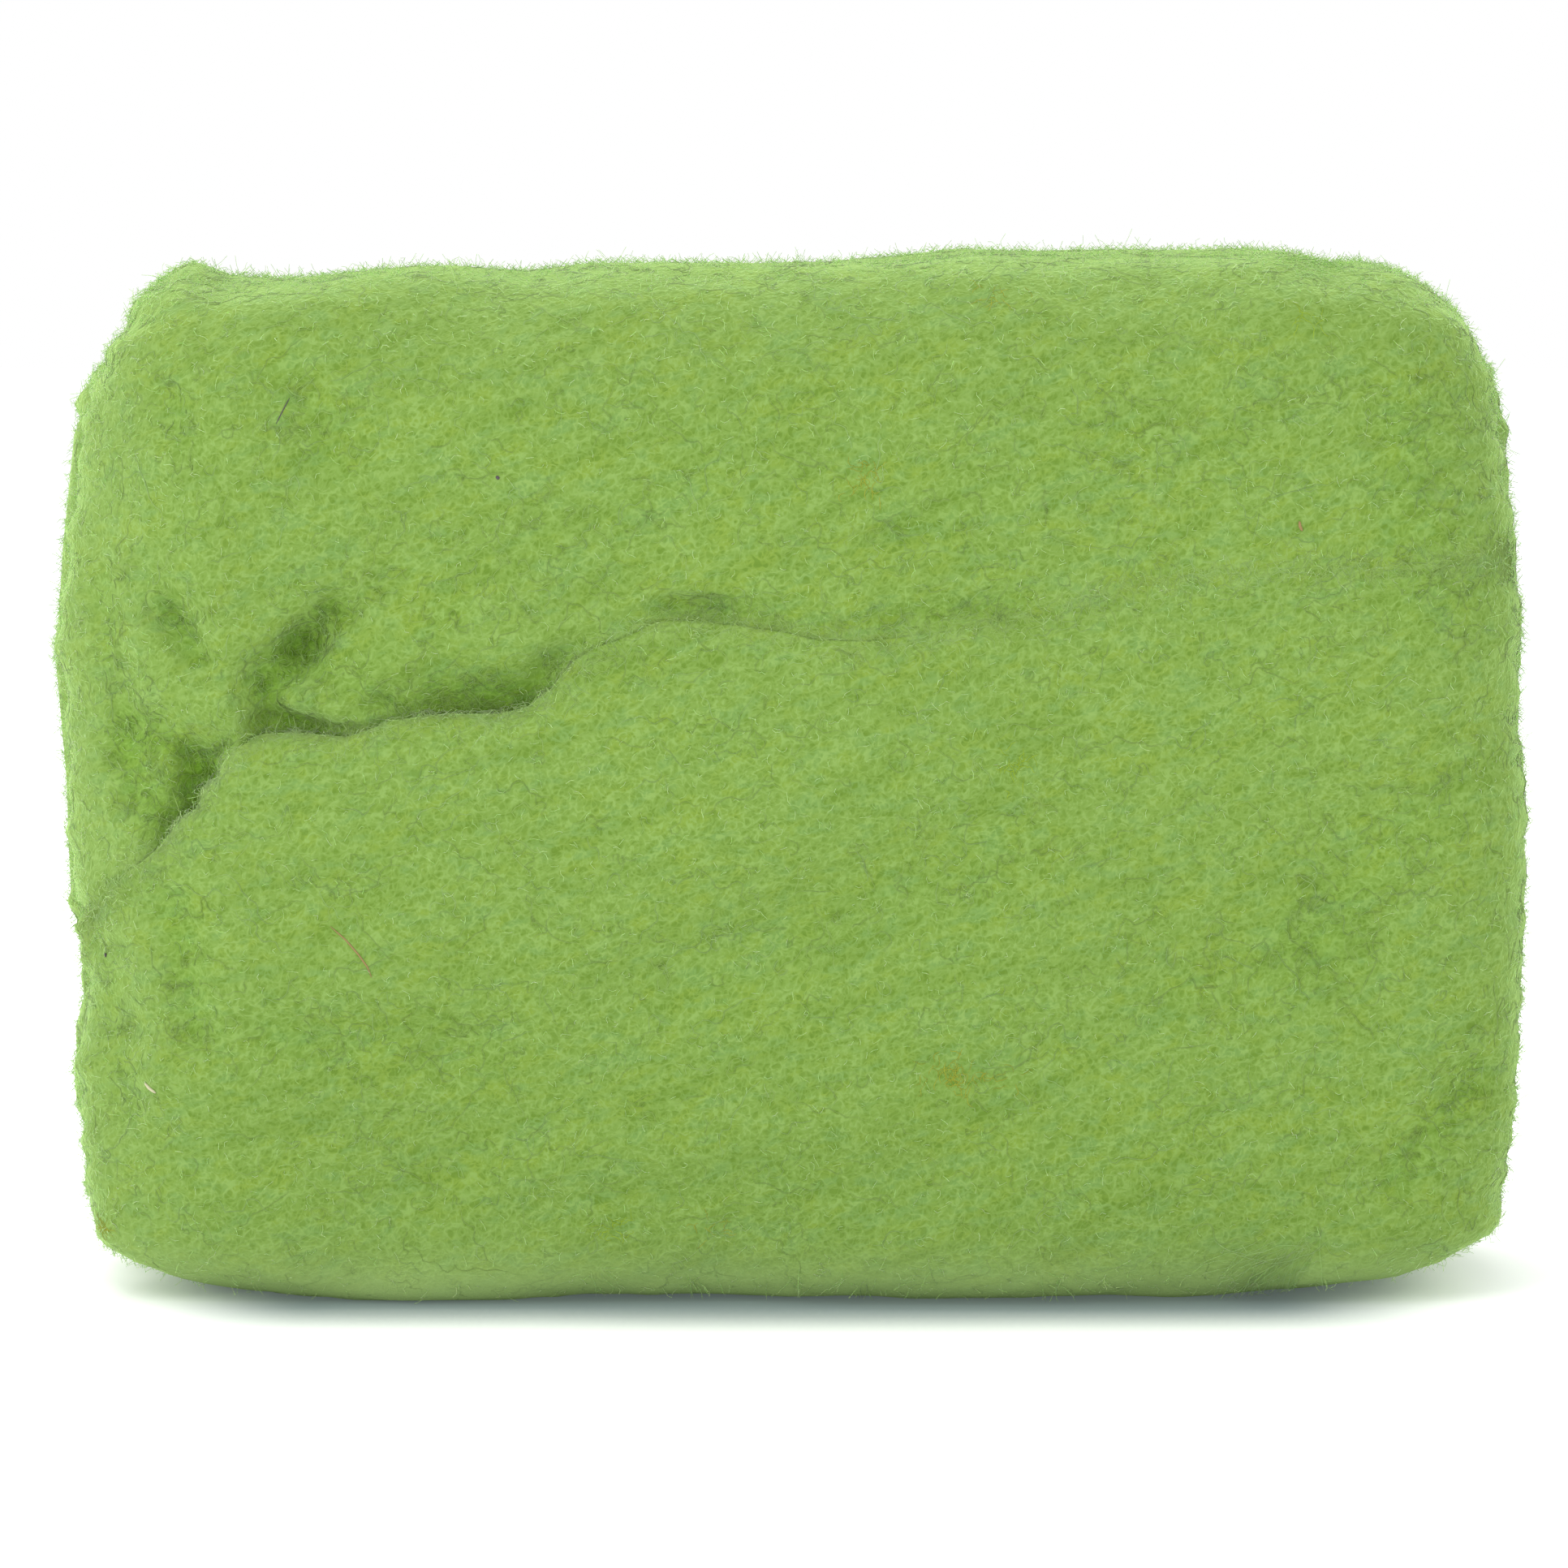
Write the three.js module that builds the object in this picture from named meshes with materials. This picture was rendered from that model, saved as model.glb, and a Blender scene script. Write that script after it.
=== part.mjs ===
// A carded wool batt: one thick, lofty sheet of wool wrapped flat around itself into a soft bundle,
// which stands on its long side. The wrap is a flattened spiral of four layers. Its outer free edge, the
// flap, comes up the lower front and ends in an uneven seam across the front face, deep at the left end
// and closed towards the right. The inner layers stand a little out of the two ends.
//
// Millimetres. X runs to the right along the bundle, Y from its front face to its back, Z up.
// The origin is the middle of the underside.

import * as THREE from 'three';

// Driving dimensions
const WIDTH = 262; // left end to right end
const HEIGHT = 187; // underside to the highest point of the top fold
const BATT = 18; // loft of one layer
const GAP = 1.5; // between layers that lie on each other
const LAP = 44; // how far down the flap covers the layer behind it

// The spiral's tracks, as distances from its middle plane to the middle of a layer
const PITCH = BATT + GAP;
const OUTER_TRACK = 1.5 * PITCH;
const INNER_TRACK = 0.5 * PITCH;
const HALF_DEPTH = OUTER_TRACK + BATT / 2;

// A fold is half of a squarish oval: its rise as a share of its half depth, and its squareness,
// where 2 is an ellipse
const TOP_FOLD = { rise: 0.8, squareness: 2.5 };
const BOTTOM_FOLD = { rise: 0.7, squareness: 3.6 };
const TOP_FOLD_Z = HEIGHT - TOP_FOLD.rise * HALF_DEPTH;
const BOTTOM_FOLD_Z = BOTTOM_FOLD.rise * HALF_DEPTH;
const SETTLE = 1.6; // how far the underside would sink, which the floor presses flat

// The seam across the front face: its height, and how deep its groove is
const SEAM = [
  { x: -131, z: 60, groove: 9 },
  { x: -124, z: 66, groove: 10 },
  { x: -116, z: 76, groove: 11 },
  { x: -107, z: 86, groove: 12 },
  { x: -98, z: 95, groove: 11 },
  { x: -90, z: 99.5, groove: 9.5 },
  { x: -77, z: 101.5, groove: 8 },
  { x: -60, z: 104, groove: 8.5 },
  { x: -45, z: 107.5, groove: 7 },
  { x: -36, z: 113.5, groove: 5 },
  { x: -22, z: 121, groove: 4 },
  { x: -6, z: 120.5, groove: 3.5 },
  { x: 12, z: 117, groove: 3 },
  { x: 40, z: 122, groove: 2 },
  { x: 66, z: 128, groove: 1 },
  { x: 84, z: 129.5, groove: 0.5 },
  { x: 131, z: 132, groove: 0.4 },
];
const CLOSED_GAP = 0.3; // between the flap's edge and the layer behind it where the groove has run out
const GAP_SHARE = 0.25; // of the groove, by which that gap opens up to the gap between the other layers

// How far each end is drawn in from the full width, by height
const LEFT_END = [
  { z: 0, inset: 30 },
  { z: 3, inset: 15 },
  { z: 8, inset: 6.5 },
  { z: 18, inset: 4.5 },
  { z: 34, inset: 4 },
  { z: 44, inset: 3 },
  { z: 55, inset: 5 },
  { z: 70, inset: 3.2 },
  { z: 86, inset: 1.8 },
  { z: 106, inset: 0.8 },
  { z: 122, inset: 0 },
  { z: 142, inset: 1.6 },
  { z: 158, inset: 4 },
  { z: 170, inset: 9.5 },
  { z: 180, inset: 15.5 },
  { z: 187, inset: 24 },
];
const RIGHT_END = [
  { z: 0, inset: 34 },
  { z: 3, inset: 18 },
  { z: 8, inset: 6.5 },
  { z: 14, inset: 3 },
  { z: 26, inset: 2.5 },
  { z: 45, inset: 0.6 },
  { z: 72, inset: 0 },
  { z: 98, inset: 0.6 },
  { z: 108, inset: 2 },
  { z: 118, inset: 1 },
  { z: 140, inset: 3.6 },
  { z: 156, inset: 5.5 },
  { z: 168, inset: 10 },
  { z: 178, inset: 16.5 },
  { z: 184, inset: 26 },
  { z: 187, inset: 38 },
];

// How far the top fold stays under the full height, along the bundle
const TOP_LINE = [
  { x: -112, drop: 4.5 },
  { x: -98, drop: 6.3 },
  { x: -64, drop: 4.2 },
  { x: -48, drop: 5 },
  { x: -20, drop: 3.4 },
  { x: 4, drop: 3 },
  { x: 30, drop: 0.6 },
  { x: 46, drop: 1.8 },
  { x: 82, drop: 0 },
  { x: 98, drop: 2.8 },
  { x: 131, drop: 4 },
];

// The ends are pinched thinner than the middle: over this length, to this share of the depth
const LEFT_PINCH = { length: 36, share: 0.55 };
const RIGHT_PINCH = { length: 24, share: 0.66 };
const LIP = 6; // length over which a layer's edge rounds off
const BELLY = 0.05; // how much deeper the bundle is at half its height than at its folds

// Creases pressed into the front face, and a ridge where depth is negative
const CREASES = [
  { fromX: -101, fromZ: 106, toX: -86, toZ: 117, width: 7, depth: 4.5 }, // up from the pocket
  { fromX: -107, fromZ: 112, toX: -106, toZ: 120, width: 7, depth: 3 }, // hollow at the left corner
  { fromX: -112, fromZ: 164, toX: -105, toZ: 148, width: 8, depth: 2.2 }, // upper left corner
  { fromX: -92, fromZ: 163, toX: -84, toZ: 150, width: 12, depth: 1.5 }, // shallow upper dip
  { fromX: -108, fromZ: 72, toX: -106, toZ: 50, width: 8, depth: 2.4 }, // lower left corner
  { fromX: -100, fromZ: 44, toX: -72, toZ: 40, width: 11, depth: 1.6 }, // shallow lower dip
  { fromX: 108, fromZ: 30, toX: 118, toZ: 52, width: 9, depth: 1.4 }, // lower right corner
  { fromX: -99, fromZ: 107, toX: -80, toZ: 103, width: 4, depth: -2.5 }, // tongue over the pocket
];

// How far the layers' side edges stay inside the most proud one, at four places round the spiral
const EDGE_INSET = { frontOuter: 3, backOuter: 3, frontInner: 0.5, backInner: 0 };
const POINT_LOFT = 1.2; // how thick the batt's inner end still is where it closes

// Steps along each stretch of the spiral, from the flap's free edge inwards
const STEPS = {
  tip: 2, wedge: 4, flap: 4, outerFold: 10, back: 7, front: 5, mouth: 4, under: 4,
  innerFront: 2, innerFold: 6, innerBack: 3, innerWedge: 3,
};
const COLUMN_LEFT = 8.5; // step along X over the creased left part
const COLUMN_RIGHT = 13; // step along X over the rest
const CREASED_SHARE = 0.4; // of the width

const smooth = (t) => {
  const c = Math.min(1, Math.max(0, t));
  return c * c * (3 - 2 * c);
};

// The place where smooth reaches a value
const smoothPlace = (value) => 0.5 - Math.sin(Math.asin(1 - 2 * value) / 3);

const mix = (a, b, t) => a + (b - a) * t;

// A table's value at a place, eased between its rows
function lookUp(table, place, key, value) {
  const last = table.length - 1;
  if (key <= table[0][place]) return table[0][value];
  if (key >= table[last][place]) return table[last][value];
  const i = table.findIndex((row) => row[place] > key) - 1;
  const share = (key - table[i][place]) / (table[i + 1][place] - table[i][place]);
  return mix(table[i][value], table[i + 1][value], mix(share, smooth(share), 0.5));
}

// Point on a fold's oval: turn 0 is the front, half a turn the back; side is 1 for the top, -1 for the bottom
function onFold(fold, z, side, radius, turn) {
  const power = 2 / fold.squareness;
  const c = Math.cos(turn);
  return [
    -Math.sign(c) * radius * Math.abs(c) ** power,
    z + side * fold.rise * radius * Math.abs(Math.sin(turn)) ** power,
  ];
}

// The height where the flap is back to a full layer
const lapFoot = (seam) => Math.max(seam.z - LAP, BOTTOM_FOLD_Z + 3);

// How thick the flap is at a height: thin at its free edge, a full layer at the foot of the lap
const flapShare = (seam, z) => smooth((seam.z - z) / (seam.z - lapFoot(seam)));
const flapLoft = (seam, z) => mix(seam.groove, BATT, flapShare(seam, z));

// The gap between the flap and the layer behind it, at a height
const gapAtEdge = (seam) => Math.min(GAP, CLOSED_GAP + GAP_SHARE * seam.groove);
const gapBehind = (seam, z) => mix(gapAtEdge(seam), GAP, flapShare(seam, z));

// The height above the seam where the groove starts to turn in
const mouthTop = (seam) => seam.z + 5 + 0.9 * seam.groove;

// How far the layer behind the flap lies inside the front face, at a height
function setIn(seam, z) {
  if (z <= seam.z) return flapLoft(seam, z) + gapBehind(seam, z);
  return (seam.groove + gapAtEdge(seam)) * (1 - smooth((z - seam.z) / (mouthTop(seam) - seam.z)));
}

// The spiral's cross-section at one place along the bundle, as rows from the flap's free edge inwards.
// Each row has a point on the sheet's outer side and one on its inner side, both [y, z], and how far
// the sheet's side edges are set in there.
function sectionRows(seam) {
  const rows = [];
  const add = (outer, inner, inset) => rows.push({ outer, inner, inset });
  const stretch = (steps, make) => {
    for (let i = 1; i <= steps; i += 1) make(i / steps);
  };
  const upright = (y, z, inset) => {
    const away = Math.sign(y) * (BATT / 2);
    add([y + away, z], [y - away, z], inset);
  };
  const fold = (shape, z, side, track, turns, steps, inset) => stretch(steps, (t) => {
    const turn = mix(turns[0], turns[1], t);
    add(
      onFold(shape, z, side, track + BATT / 2, turn),
      onFold(shape, z, side, track - BATT / 2, turn),
      mix(inset[0], inset[1], t),
    );
  });
  const face = -HALF_DEPTH;
  const foot = lapFoot(seam);
  const mouth = mouthTop(seam);
  const { frontOuter, backOuter, frontInner, backInner } = EDGE_INSET;

  // The flap: a rounded thin edge, a wedge, then the full layer down to the bottom fold
  const tip = seam.groove / 2;
  add([face + tip, seam.z], [face + tip, seam.z], frontOuter);
  stretch(STEPS.tip, (t) => {
    const z = seam.z - tip * (1 - Math.cos((t * Math.PI) / 2));
    const round = Math.sin((t * Math.PI) / 2);
    add([face + tip * (1 - round), z], [mix(face + tip, face + flapLoft(seam, z), round), z], frontOuter);
  });
  stretch(STEPS.wedge, (t) => {
    const z = mix(seam.z - tip, foot, t);
    add([face, z], [face + flapLoft(seam, z), z], frontOuter);
  });
  stretch(STEPS.flap, (t) => upright(-OUTER_TRACK, mix(foot, BOTTOM_FOLD_Z, t), frontOuter));

  // Round the bottom, up the back, over the top and down the front to the seam
  fold(BOTTOM_FOLD, BOTTOM_FOLD_Z, -1, OUTER_TRACK, [0, Math.PI], STEPS.outerFold, [frontOuter, backOuter]);
  stretch(STEPS.back, (t) => upright(OUTER_TRACK, mix(BOTTOM_FOLD_Z, TOP_FOLD_Z, t), backOuter));
  fold(TOP_FOLD, TOP_FOLD_Z, 1, OUTER_TRACK, [Math.PI, 0], STEPS.outerFold, [backOuter, frontOuter]);
  stretch(STEPS.front, (t) => upright(-OUTER_TRACK, mix(TOP_FOLD_Z, mouth, t), frontOuter));

  // In behind the flap and down to the bottom again
  const behind = (z, inset) => add([face + setIn(seam, z), z], [face + setIn(seam, z) + BATT, z], inset);
  stretch(STEPS.mouth, (t) => behind(mix(mouth, seam.z, t), frontOuter));
  stretch(STEPS.under, (t) => behind(mix(seam.z, foot, t), mix(frontOuter, frontInner, t)));
  stretch(STEPS.innerFront, (t) => upright(-INNER_TRACK, mix(foot, BOTTOM_FOLD_Z, t), frontInner));

  // The inner turn: round the bottom, up the back, over the top and down to the batt's inner end
  fold(BOTTOM_FOLD, BOTTOM_FOLD_Z, -1, INNER_TRACK, [0, Math.PI], STEPS.innerFold, [frontInner, backInner]);
  stretch(STEPS.innerBack, (t) => upright(INNER_TRACK, mix(BOTTOM_FOLD_Z, TOP_FOLD_Z, t), backInner));
  fold(TOP_FOLD, TOP_FOLD_Z, 1, INNER_TRACK, [Math.PI, 0], STEPS.innerFold, [backInner, frontInner]);
  const core = (z) => face + setIn(seam, z) + BATT + GAP;
  stretch(STEPS.innerFront, (t) => upright(-INNER_TRACK, mix(TOP_FOLD_Z, mouth, t), frontInner));
  const closing = -GAP / 2 - POINT_LOFT; // the front of the inner end where it closes
  const flapThere = closing - face - BATT - 2 * GAP;
  const end = mix(seam.z, foot, smoothPlace((flapThere - seam.groove) / (BATT - seam.groove)));
  const innerEnd = (z) => add([core(z), z], [-GAP / 2, z], frontInner);
  stretch(STEPS.mouth, (t) => innerEnd(mix(mouth, seam.z, t)));
  stretch(STEPS.innerWedge, (t) => innerEnd(mix(seam.z, end, t)));
  const middle = (core(end) - GAP / 2) / 2;
  add([middle, end - POINT_LOFT], [middle, end - POINT_LOFT], frontInner);
  return rows;
}

// Where the columns of points stand along X, as distance from the left end, with how far the two sides
// of the sheet have parted there: nothing at its edge, its whole loft past the rounded lip
function columnPlaces() {
  const lip = [0, 1, 2, 3].map((i) => (i * Math.PI) / 6);
  const places = lip.map((a) => ({ at: LIP * (1 - Math.cos(a)), parted: Math.sin(a) }));
  const span = (from, to, step) => {
    const steps = Math.round((to - from) / step);
    for (let i = 1; i <= steps; i += 1) places.push({ at: mix(from, to, i / steps), parted: 1 });
  };
  span(LIP, CREASED_SHARE * WIDTH, COLUMN_LEFT);
  span(CREASED_SHARE * WIDTH, WIDTH - LIP, COLUMN_RIGHT);
  lip.slice(0, -1).reverse().forEach((a) => {
    places.push({ at: WIDTH - LIP * (1 - Math.cos(a)), parted: Math.sin(a) });
  });
  return places;
}

// How deep the creases press the front face in at a place
function creaseDepth(x, z) {
  return CREASES.reduce((sum, c) => {
    const along = new THREE.Vector2(c.toX - c.fromX, c.toZ - c.fromZ);
    const from = new THREE.Vector2(x - c.fromX, z - c.fromZ);
    const share = Math.min(1, Math.max(0, from.dot(along) / along.lengthSq()));
    const away = from.addScaledVector(along, -share).length() / c.width;
    return sum + c.depth * Math.exp(-2 * away * away);
  }, 0);
}

// Low swells over the whole bundle, as a share of its depth
function swell(x, z) {
  return 0.018 * Math.sin(x / 23 + z / 61 + 0.6)
    + 0.014 * Math.sin(z / 19 - x / 57 + 2.1)
    + 0.010 * Math.sin(x / 13 + z / 17);
}

// What share of the depth is left this far away from an end
const pinch = (end, away) => mix(end.share, 1, Math.sin((Math.min(1, away / end.length) * Math.PI) / 2));

// Takes a point of the even spiral to its place in the soft bundle
function settle(at, y, z, inset) {
  const left = lookUp(LEFT_END, 'z', z, 'inset') - WIDTH / 2;
  const right = WIDTH / 2 - lookUp(RIGHT_END, 'z', z, 'inset');
  const x = mix(left + inset, right - inset, at / WIDTH);
  const height = Math.min(1, Math.max(0, z / HEIGHT));
  const depth = pinch(LEFT_PINCH, x - left) * pinch(RIGHT_PINCH, right - x)
    * (1 + BELLY * Math.sin(Math.PI * height) + swell(x, z));
  const frontShare = smooth((-y - (HALF_DEPTH - BATT)) / BATT);
  const top = lookUp(TOP_LINE, 'x', x, 'drop') * height;
  return new THREE.Vector3(
    x,
    y * depth + frontShare * creaseDepth(x, z),
    Math.max(0, z - top - SETTLE * (1 - height)),
  );
}

function battGeometry() {
  const columns = columnPlaces();
  const points = [];
  const index = columns.map(({ at, parted }, i) => {
    const x = at - WIDTH / 2;
    const seam = { z: lookUp(SEAM, 'x', x, 'z'), groove: lookUp(SEAM, 'x', x, 'groove') };
    const rows = sectionRows(seam);
    return rows.map(({ outer, inner, inset }, j) => {
      const place = (side, other) => {
        const [y, z] = [0, 1].map((k) => mix((side[k] + other[k]) / 2, side[k], parted));
        points.push(settle(at, y, z, inset));
        return points.length - 1;
      };
      const onRim = i === 0 || i === columns.length - 1 || j === 0 || j === rows.length - 1;
      const first = place(outer, inner);
      return [first, onRim ? first : place(inner, outer)];
    });
  });

  const faces = [];
  for (let i = 0; i + 1 < index.length; i += 1) {
    for (let j = 0; j + 1 < index[i].length; j += 1) {
      const corners = (side) => [index[i][j], index[i + 1][j], index[i + 1][j + 1], index[i][j + 1]]
        .map((pair) => pair[side]);
      const [a, b, c, d] = corners(0);
      faces.push(a, c, b, a, d, c);
      const [e, f, g, h] = corners(1);
      faces.push(e, f, g, e, g, h);
    }
  }
  const geometry = new THREE.BufferGeometry().setFromPoints(points);
  geometry.setIndex(faces);
  geometry.computeBoundingBox();
  const middle = geometry.boundingBox.getCenter(new THREE.Vector3());
  geometry.translate(-middle.x, -middle.y, 0);
  geometry.computeVertexNormals();
  return geometry;
}

const wool = new THREE.MeshStandardMaterial({ color: 0x8fbf4e, roughness: 0.95, metalness: 0 });

const batt = new THREE.Mesh(battGeometry(), wool);
batt.name = 'batt';

const bundle = new THREE.Group();
bundle.add(batt);

export default bundle;
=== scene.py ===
# %% [markdown]
# # A carded wool batt, wrapped into a soft bundle
#
# Carding combs loose wool into a batt: one thick, lofty sheet of crossing fibres. To sell it or store it,
# the sheet is wrapped flat around itself. This lesson dresses the plain model of such a bundle. It
# makes a finer skin with the wrap's folds and its torn-looking seam, lays curly fibres on it with
# Geometry Nodes, and gives it a melange of dyed wool.
#
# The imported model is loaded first. It fixes where everything is, and how large.

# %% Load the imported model
import math

import bpy
import numpy as np
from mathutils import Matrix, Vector, noise
from mathutils.bvhtree import BVHTree


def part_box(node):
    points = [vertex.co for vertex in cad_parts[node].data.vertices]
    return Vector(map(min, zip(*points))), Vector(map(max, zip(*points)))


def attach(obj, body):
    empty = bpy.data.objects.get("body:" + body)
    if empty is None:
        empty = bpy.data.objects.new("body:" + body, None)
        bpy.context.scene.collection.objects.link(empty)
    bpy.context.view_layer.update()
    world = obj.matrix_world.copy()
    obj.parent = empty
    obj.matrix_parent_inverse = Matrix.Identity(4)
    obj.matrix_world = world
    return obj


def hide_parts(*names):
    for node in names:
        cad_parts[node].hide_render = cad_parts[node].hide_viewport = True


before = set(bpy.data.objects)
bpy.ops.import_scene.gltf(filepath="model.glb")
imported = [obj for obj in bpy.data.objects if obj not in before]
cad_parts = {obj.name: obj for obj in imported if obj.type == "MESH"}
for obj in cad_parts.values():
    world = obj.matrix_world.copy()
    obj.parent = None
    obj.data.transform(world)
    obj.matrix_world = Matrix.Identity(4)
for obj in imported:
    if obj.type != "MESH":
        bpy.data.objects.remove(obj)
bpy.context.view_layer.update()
low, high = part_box("batt")
print("the packed batt goes from", [round(v, 4) for v in low], "to", [round(v, 4) for v in high])

# %% [markdown]
# ## Sizes
#
# The lesson thinks in millimetres and turns them into metres when a mesh is made. The bundle's outer
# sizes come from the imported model. The rest are the sizes of the wrap: how thick one layer is, how the
# flattened spiral runs, and how square its folds are.

# %% Sizes of the wrap
MM = 0.001
SIDE_LOFT = 2.5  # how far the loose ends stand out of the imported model
TOP_LOFT = 2.2  # how much higher the fluffy top stands
WIDTH = (high.x - low.x) / MM + 2 * SIDE_LOFT
HEIGHT = (high.z - low.z) / MM + TOP_LOFT

BATT = 18  # loft of one layer
GAP = 1.5  # between layers that lie on each other
LAP = 44  # how far down the flap covers the layer behind it
PITCH = BATT + GAP
OUTER_TRACK = 1.5 * PITCH
INNER_TRACK = 0.5 * PITCH
HALF_DEPTH = OUTER_TRACK + BATT / 2
FACE = -HALF_DEPTH

TOP_RISE, TOP_SQUARENESS = 0.8, 2.5
BOTTOM_RISE, BOTTOM_SQUARENESS = 0.7, 3.6
TOP_FOLD_Z = HEIGHT - TOP_RISE * HALF_DEPTH
BOTTOM_FOLD_Z = BOTTOM_RISE * HALF_DEPTH
SETTLE = 1.6  # how far the underside would sink, which the floor presses flat

LIP = 6  # length over which a layer's edge rounds off
BELLY = 0.05  # share by which the middle swells
LEFT_PINCH = (32, 0.52)  # length and share of the full depth at the very end
LEFT_FOOT = 0.24  # how much deeper the left end is at its foot
RIGHT_PINCH = (24, 0.66)
OUTER_EDGE_INSET = 2.5  # how far the outer turn's ends stay inside the inner ones
INNER_EDGE_INSET = 0.5
CLOSED_GAP = 0.015  # between the flap's edge and the layer behind it where the seam is closed
GAP_SHARE = 0.25  # how fast that gap grows with the depth of the groove
LIP_LOFT = 5.5  # the flap is never thicker than this at its very edge
LIP_SLOPE = 1.3  # how much longer than deep the rounding of that edge is
FLAP_INSET = 2.5  # how far the flap's ends stay inside the widest turn
POINT_LOFT = 1.2  # how far the sheet's inner end is rounded off
print("one layer is", BATT, "mm thick and the bundle", round(2 * HALF_DEPTH, 1), "mm deep")

# %% [markdown]
# ## The outline and the seam
#
# Short tables hold what no formula gives: how the seam wanders across the front, how the two ends are
# drawn in at each height, and the line of the top fold. Each row was read off the photograph as a real
# size. Between its rows a table is eased half by a straight line and half by a smooth step, which keeps
# the uneven look without kinks.

# %% Tables of the seam, the ends, the top and the creases
SEAM = [  # x, height of the flap's edge, depth of the groove, height of the mouth
    (-134, 58, 0.01, 6), (-129, 61, 0.01, 7), (-125.5, 65.3, 0.02, 8), (-121.5, 71.6, 0.05, 10),
    (-116.8, 75.5, 0.3, 13), (-113.6, 78.4, 1.5, 15.5), (-110.7, 81.2, 3.4, 17), (-106.4, 86.3, 5.8, 17.5),
    (-102.8, 90.3, 5.8, 14), (-99.9, 94.2, 3, 8.5), (-97.1, 98.1, 0.9, 5.5), (-94.5, 99.6, 2.8, 7),
    (-92, 99.9, 4.2, 8.4), (-88.5, 100, 4.8, 8), (-84.8, 99.9, 4.6, 7.4), (-78.4, 99.5, 2.8, 6.4),
    (-74.1, 100.7, 2.1, 8), (-69.7, 102.5, 3, 11.5), (-61.1, 103.4, 4.5, 14), (-51, 103.5, 5.2, 13.5),
    (-46.7, 104.5, 4.9, 12), (-42.4, 107.7, 3.5, 10), (-39.5, 110.7, 2.1, 8.5), (-36.4, 113.6, 1.1, 7.5),
    (-32.1, 116, 0.4, 6), (-21.9, 120.5, 0.7, 5.5), (-16, 120.4, 0.8, 5.5), (-9.9, 119.6, 0.6, 5.5),
    (-2.6, 118.6, 0.4, 6), (5.3, 116.9, 0.5, 6.5), (13.8, 116.6, 0.25, 7), (27, 118.2, 0.03, 8),
    (42.3, 120.8, 0.01, 8), (59.2, 125.8, 0.01, 7), (69.7, 127.7, 0.01, 6), (90, 129.5, 0.01, 6),
    (134, 131, 0.01, 5),
]
FRONT_RISE = 4.2  # the tables' heights start at the lower edge as it shows, which is rounded
TONGUE = (-96, 107.7, -74, 102.6, 2.8, 0.6)  # x and z of its two ends, width, how far it comes out
LEFT_END = [  # height, how far the end is drawn in
    (0, 31), (3, 20), (6, 13.5), (9, 9.2), (13, 5.2), (18, 3.4), (34, 2.2), (44, 0.8), (49, 1.8),
    (55, 3.4), (62, 2.4), (70, 1.4), (86, 0.2), (106, -0.2), (118, -1.2), (126, -1.2), (134, 0.2),
    (142, 1.2), (158, 3), (165, 4), (170, 6.5), (180, 12), (190, 20),
]
RIGHT_END = [
    (0, 44), (3, 29), (6, 16), (9, 9.5), (14, 3.2), (26, 1.4), (45, -0.4), (72, -1), (98, -0.6),
    (103, 0), (108, 0.8), (113, 0.2), (118, -0.2), (140, 2), (156, 3.2), (168, 5.4), (178, 9.8),
    (184, 17), (190, 28),
]
TOP_LINE = [  # x, how far the top stays under the full height
    (-134, 4), (-116, 1.5), (-110, 1.6), (-102, 4.6), (-88, 5.6), (-64, 4), (-48, 4.4), (-34, 3.4),
    (-20, 3), (-6, 3), (4, 2.2), (15, 1.6), (30, 0.8), (46, 1.6), (62, 1), (82, 0), (90, 0.4),
    (98, 2.6), (112, 1.6), (134, 2.6),
]
CREASES = [  # from x, from z, to x, to z, width, depth (a ridge where it is negative)
    (-93.5, 108, -87, 114.5, 5.6, 5.2),
    (-87, 114.5, -81, 121.5, 3.6, 3.6),
    (-112, 98.5, -107, 96.5, 3.4, 1.4),
    (-80, 121, -71, 127.5, 5, 1.1),
    (-83, 110.5, -73, 106, 4, 1.6),
    (-76, 112, -60, 120, 6, 0.9),
    (-109.5, 121, -105.5, 114, 4.8, 3.2),
    (-114, 127, -109, 121, 6, 1.0),
    (-113, 101, -106, 93, 6, 2.0),
    (-118, 96, -112.5, 84, 7, 2.6),
    (-109, 159, -106, 149, 6, 2.0),
    (-90, 163, -80, 150, 10, 1.6),
    (-110, 70, -106, 48, 7, 2.4),
    (-94, 47, -82, 44, 7, 1.6),
    (-72, 46, -58, 44, 8, 1.2),
    (-123, 126, -118.5, 100, 4.4, 1.9),
    (-120, 98, -117, 86, 5, 1.2),
    (-104, 146, -101.5, 112, 7, -1.3),
    (-100, 104, -97, 97, 4.4, -1.6),
    (-122, 58, -119, 32, 7, 1.4),
    (-117, 60, -113, 40, 6, -0.7),
    (-41, 113.5, -31, 117, 3.4, 1.0),
    (-30, 119, -24, 121.5, 3.4, 0.9),
    (-22, 123, -15, 122, 3.2, 1.3),
    (-11, 123.5, -2, 120.5, 4.4, 1.5),
    (-21, 122, -12, 121.6, 3, 1.2),
    (4, 119.2, 15, 118.2, 4, 1.3),
    (18, 120.5, 40, 122.5, 5, 1.9),
    (58, 127.5, 72, 130.5, 5.5, 1.1),
    (108, 20, 122, 38, 6, 2.4),
    (112, 124, 107, 156, 13, 1.8),
    (92, 66, 116, 90, 13, 1.5),
    (66, 52, 100, 62, 12, 1.1),
    (-20, 56, 40, 80, 12, 1.0),
    (-60, 126, -20, 144, 12, 1.0),
    (20, 136, 70, 156, 13, 1.0),
    (-70, 70, -20, 82, 9, -0.9),
    (10, 92, 70, 108, 9, -0.8),
    (-50, 22, 30, 30, 8, -0.8),
]
print(len(SEAM), "places fix the seam and", len(CREASES), "creases the hollows beside it")


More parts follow.
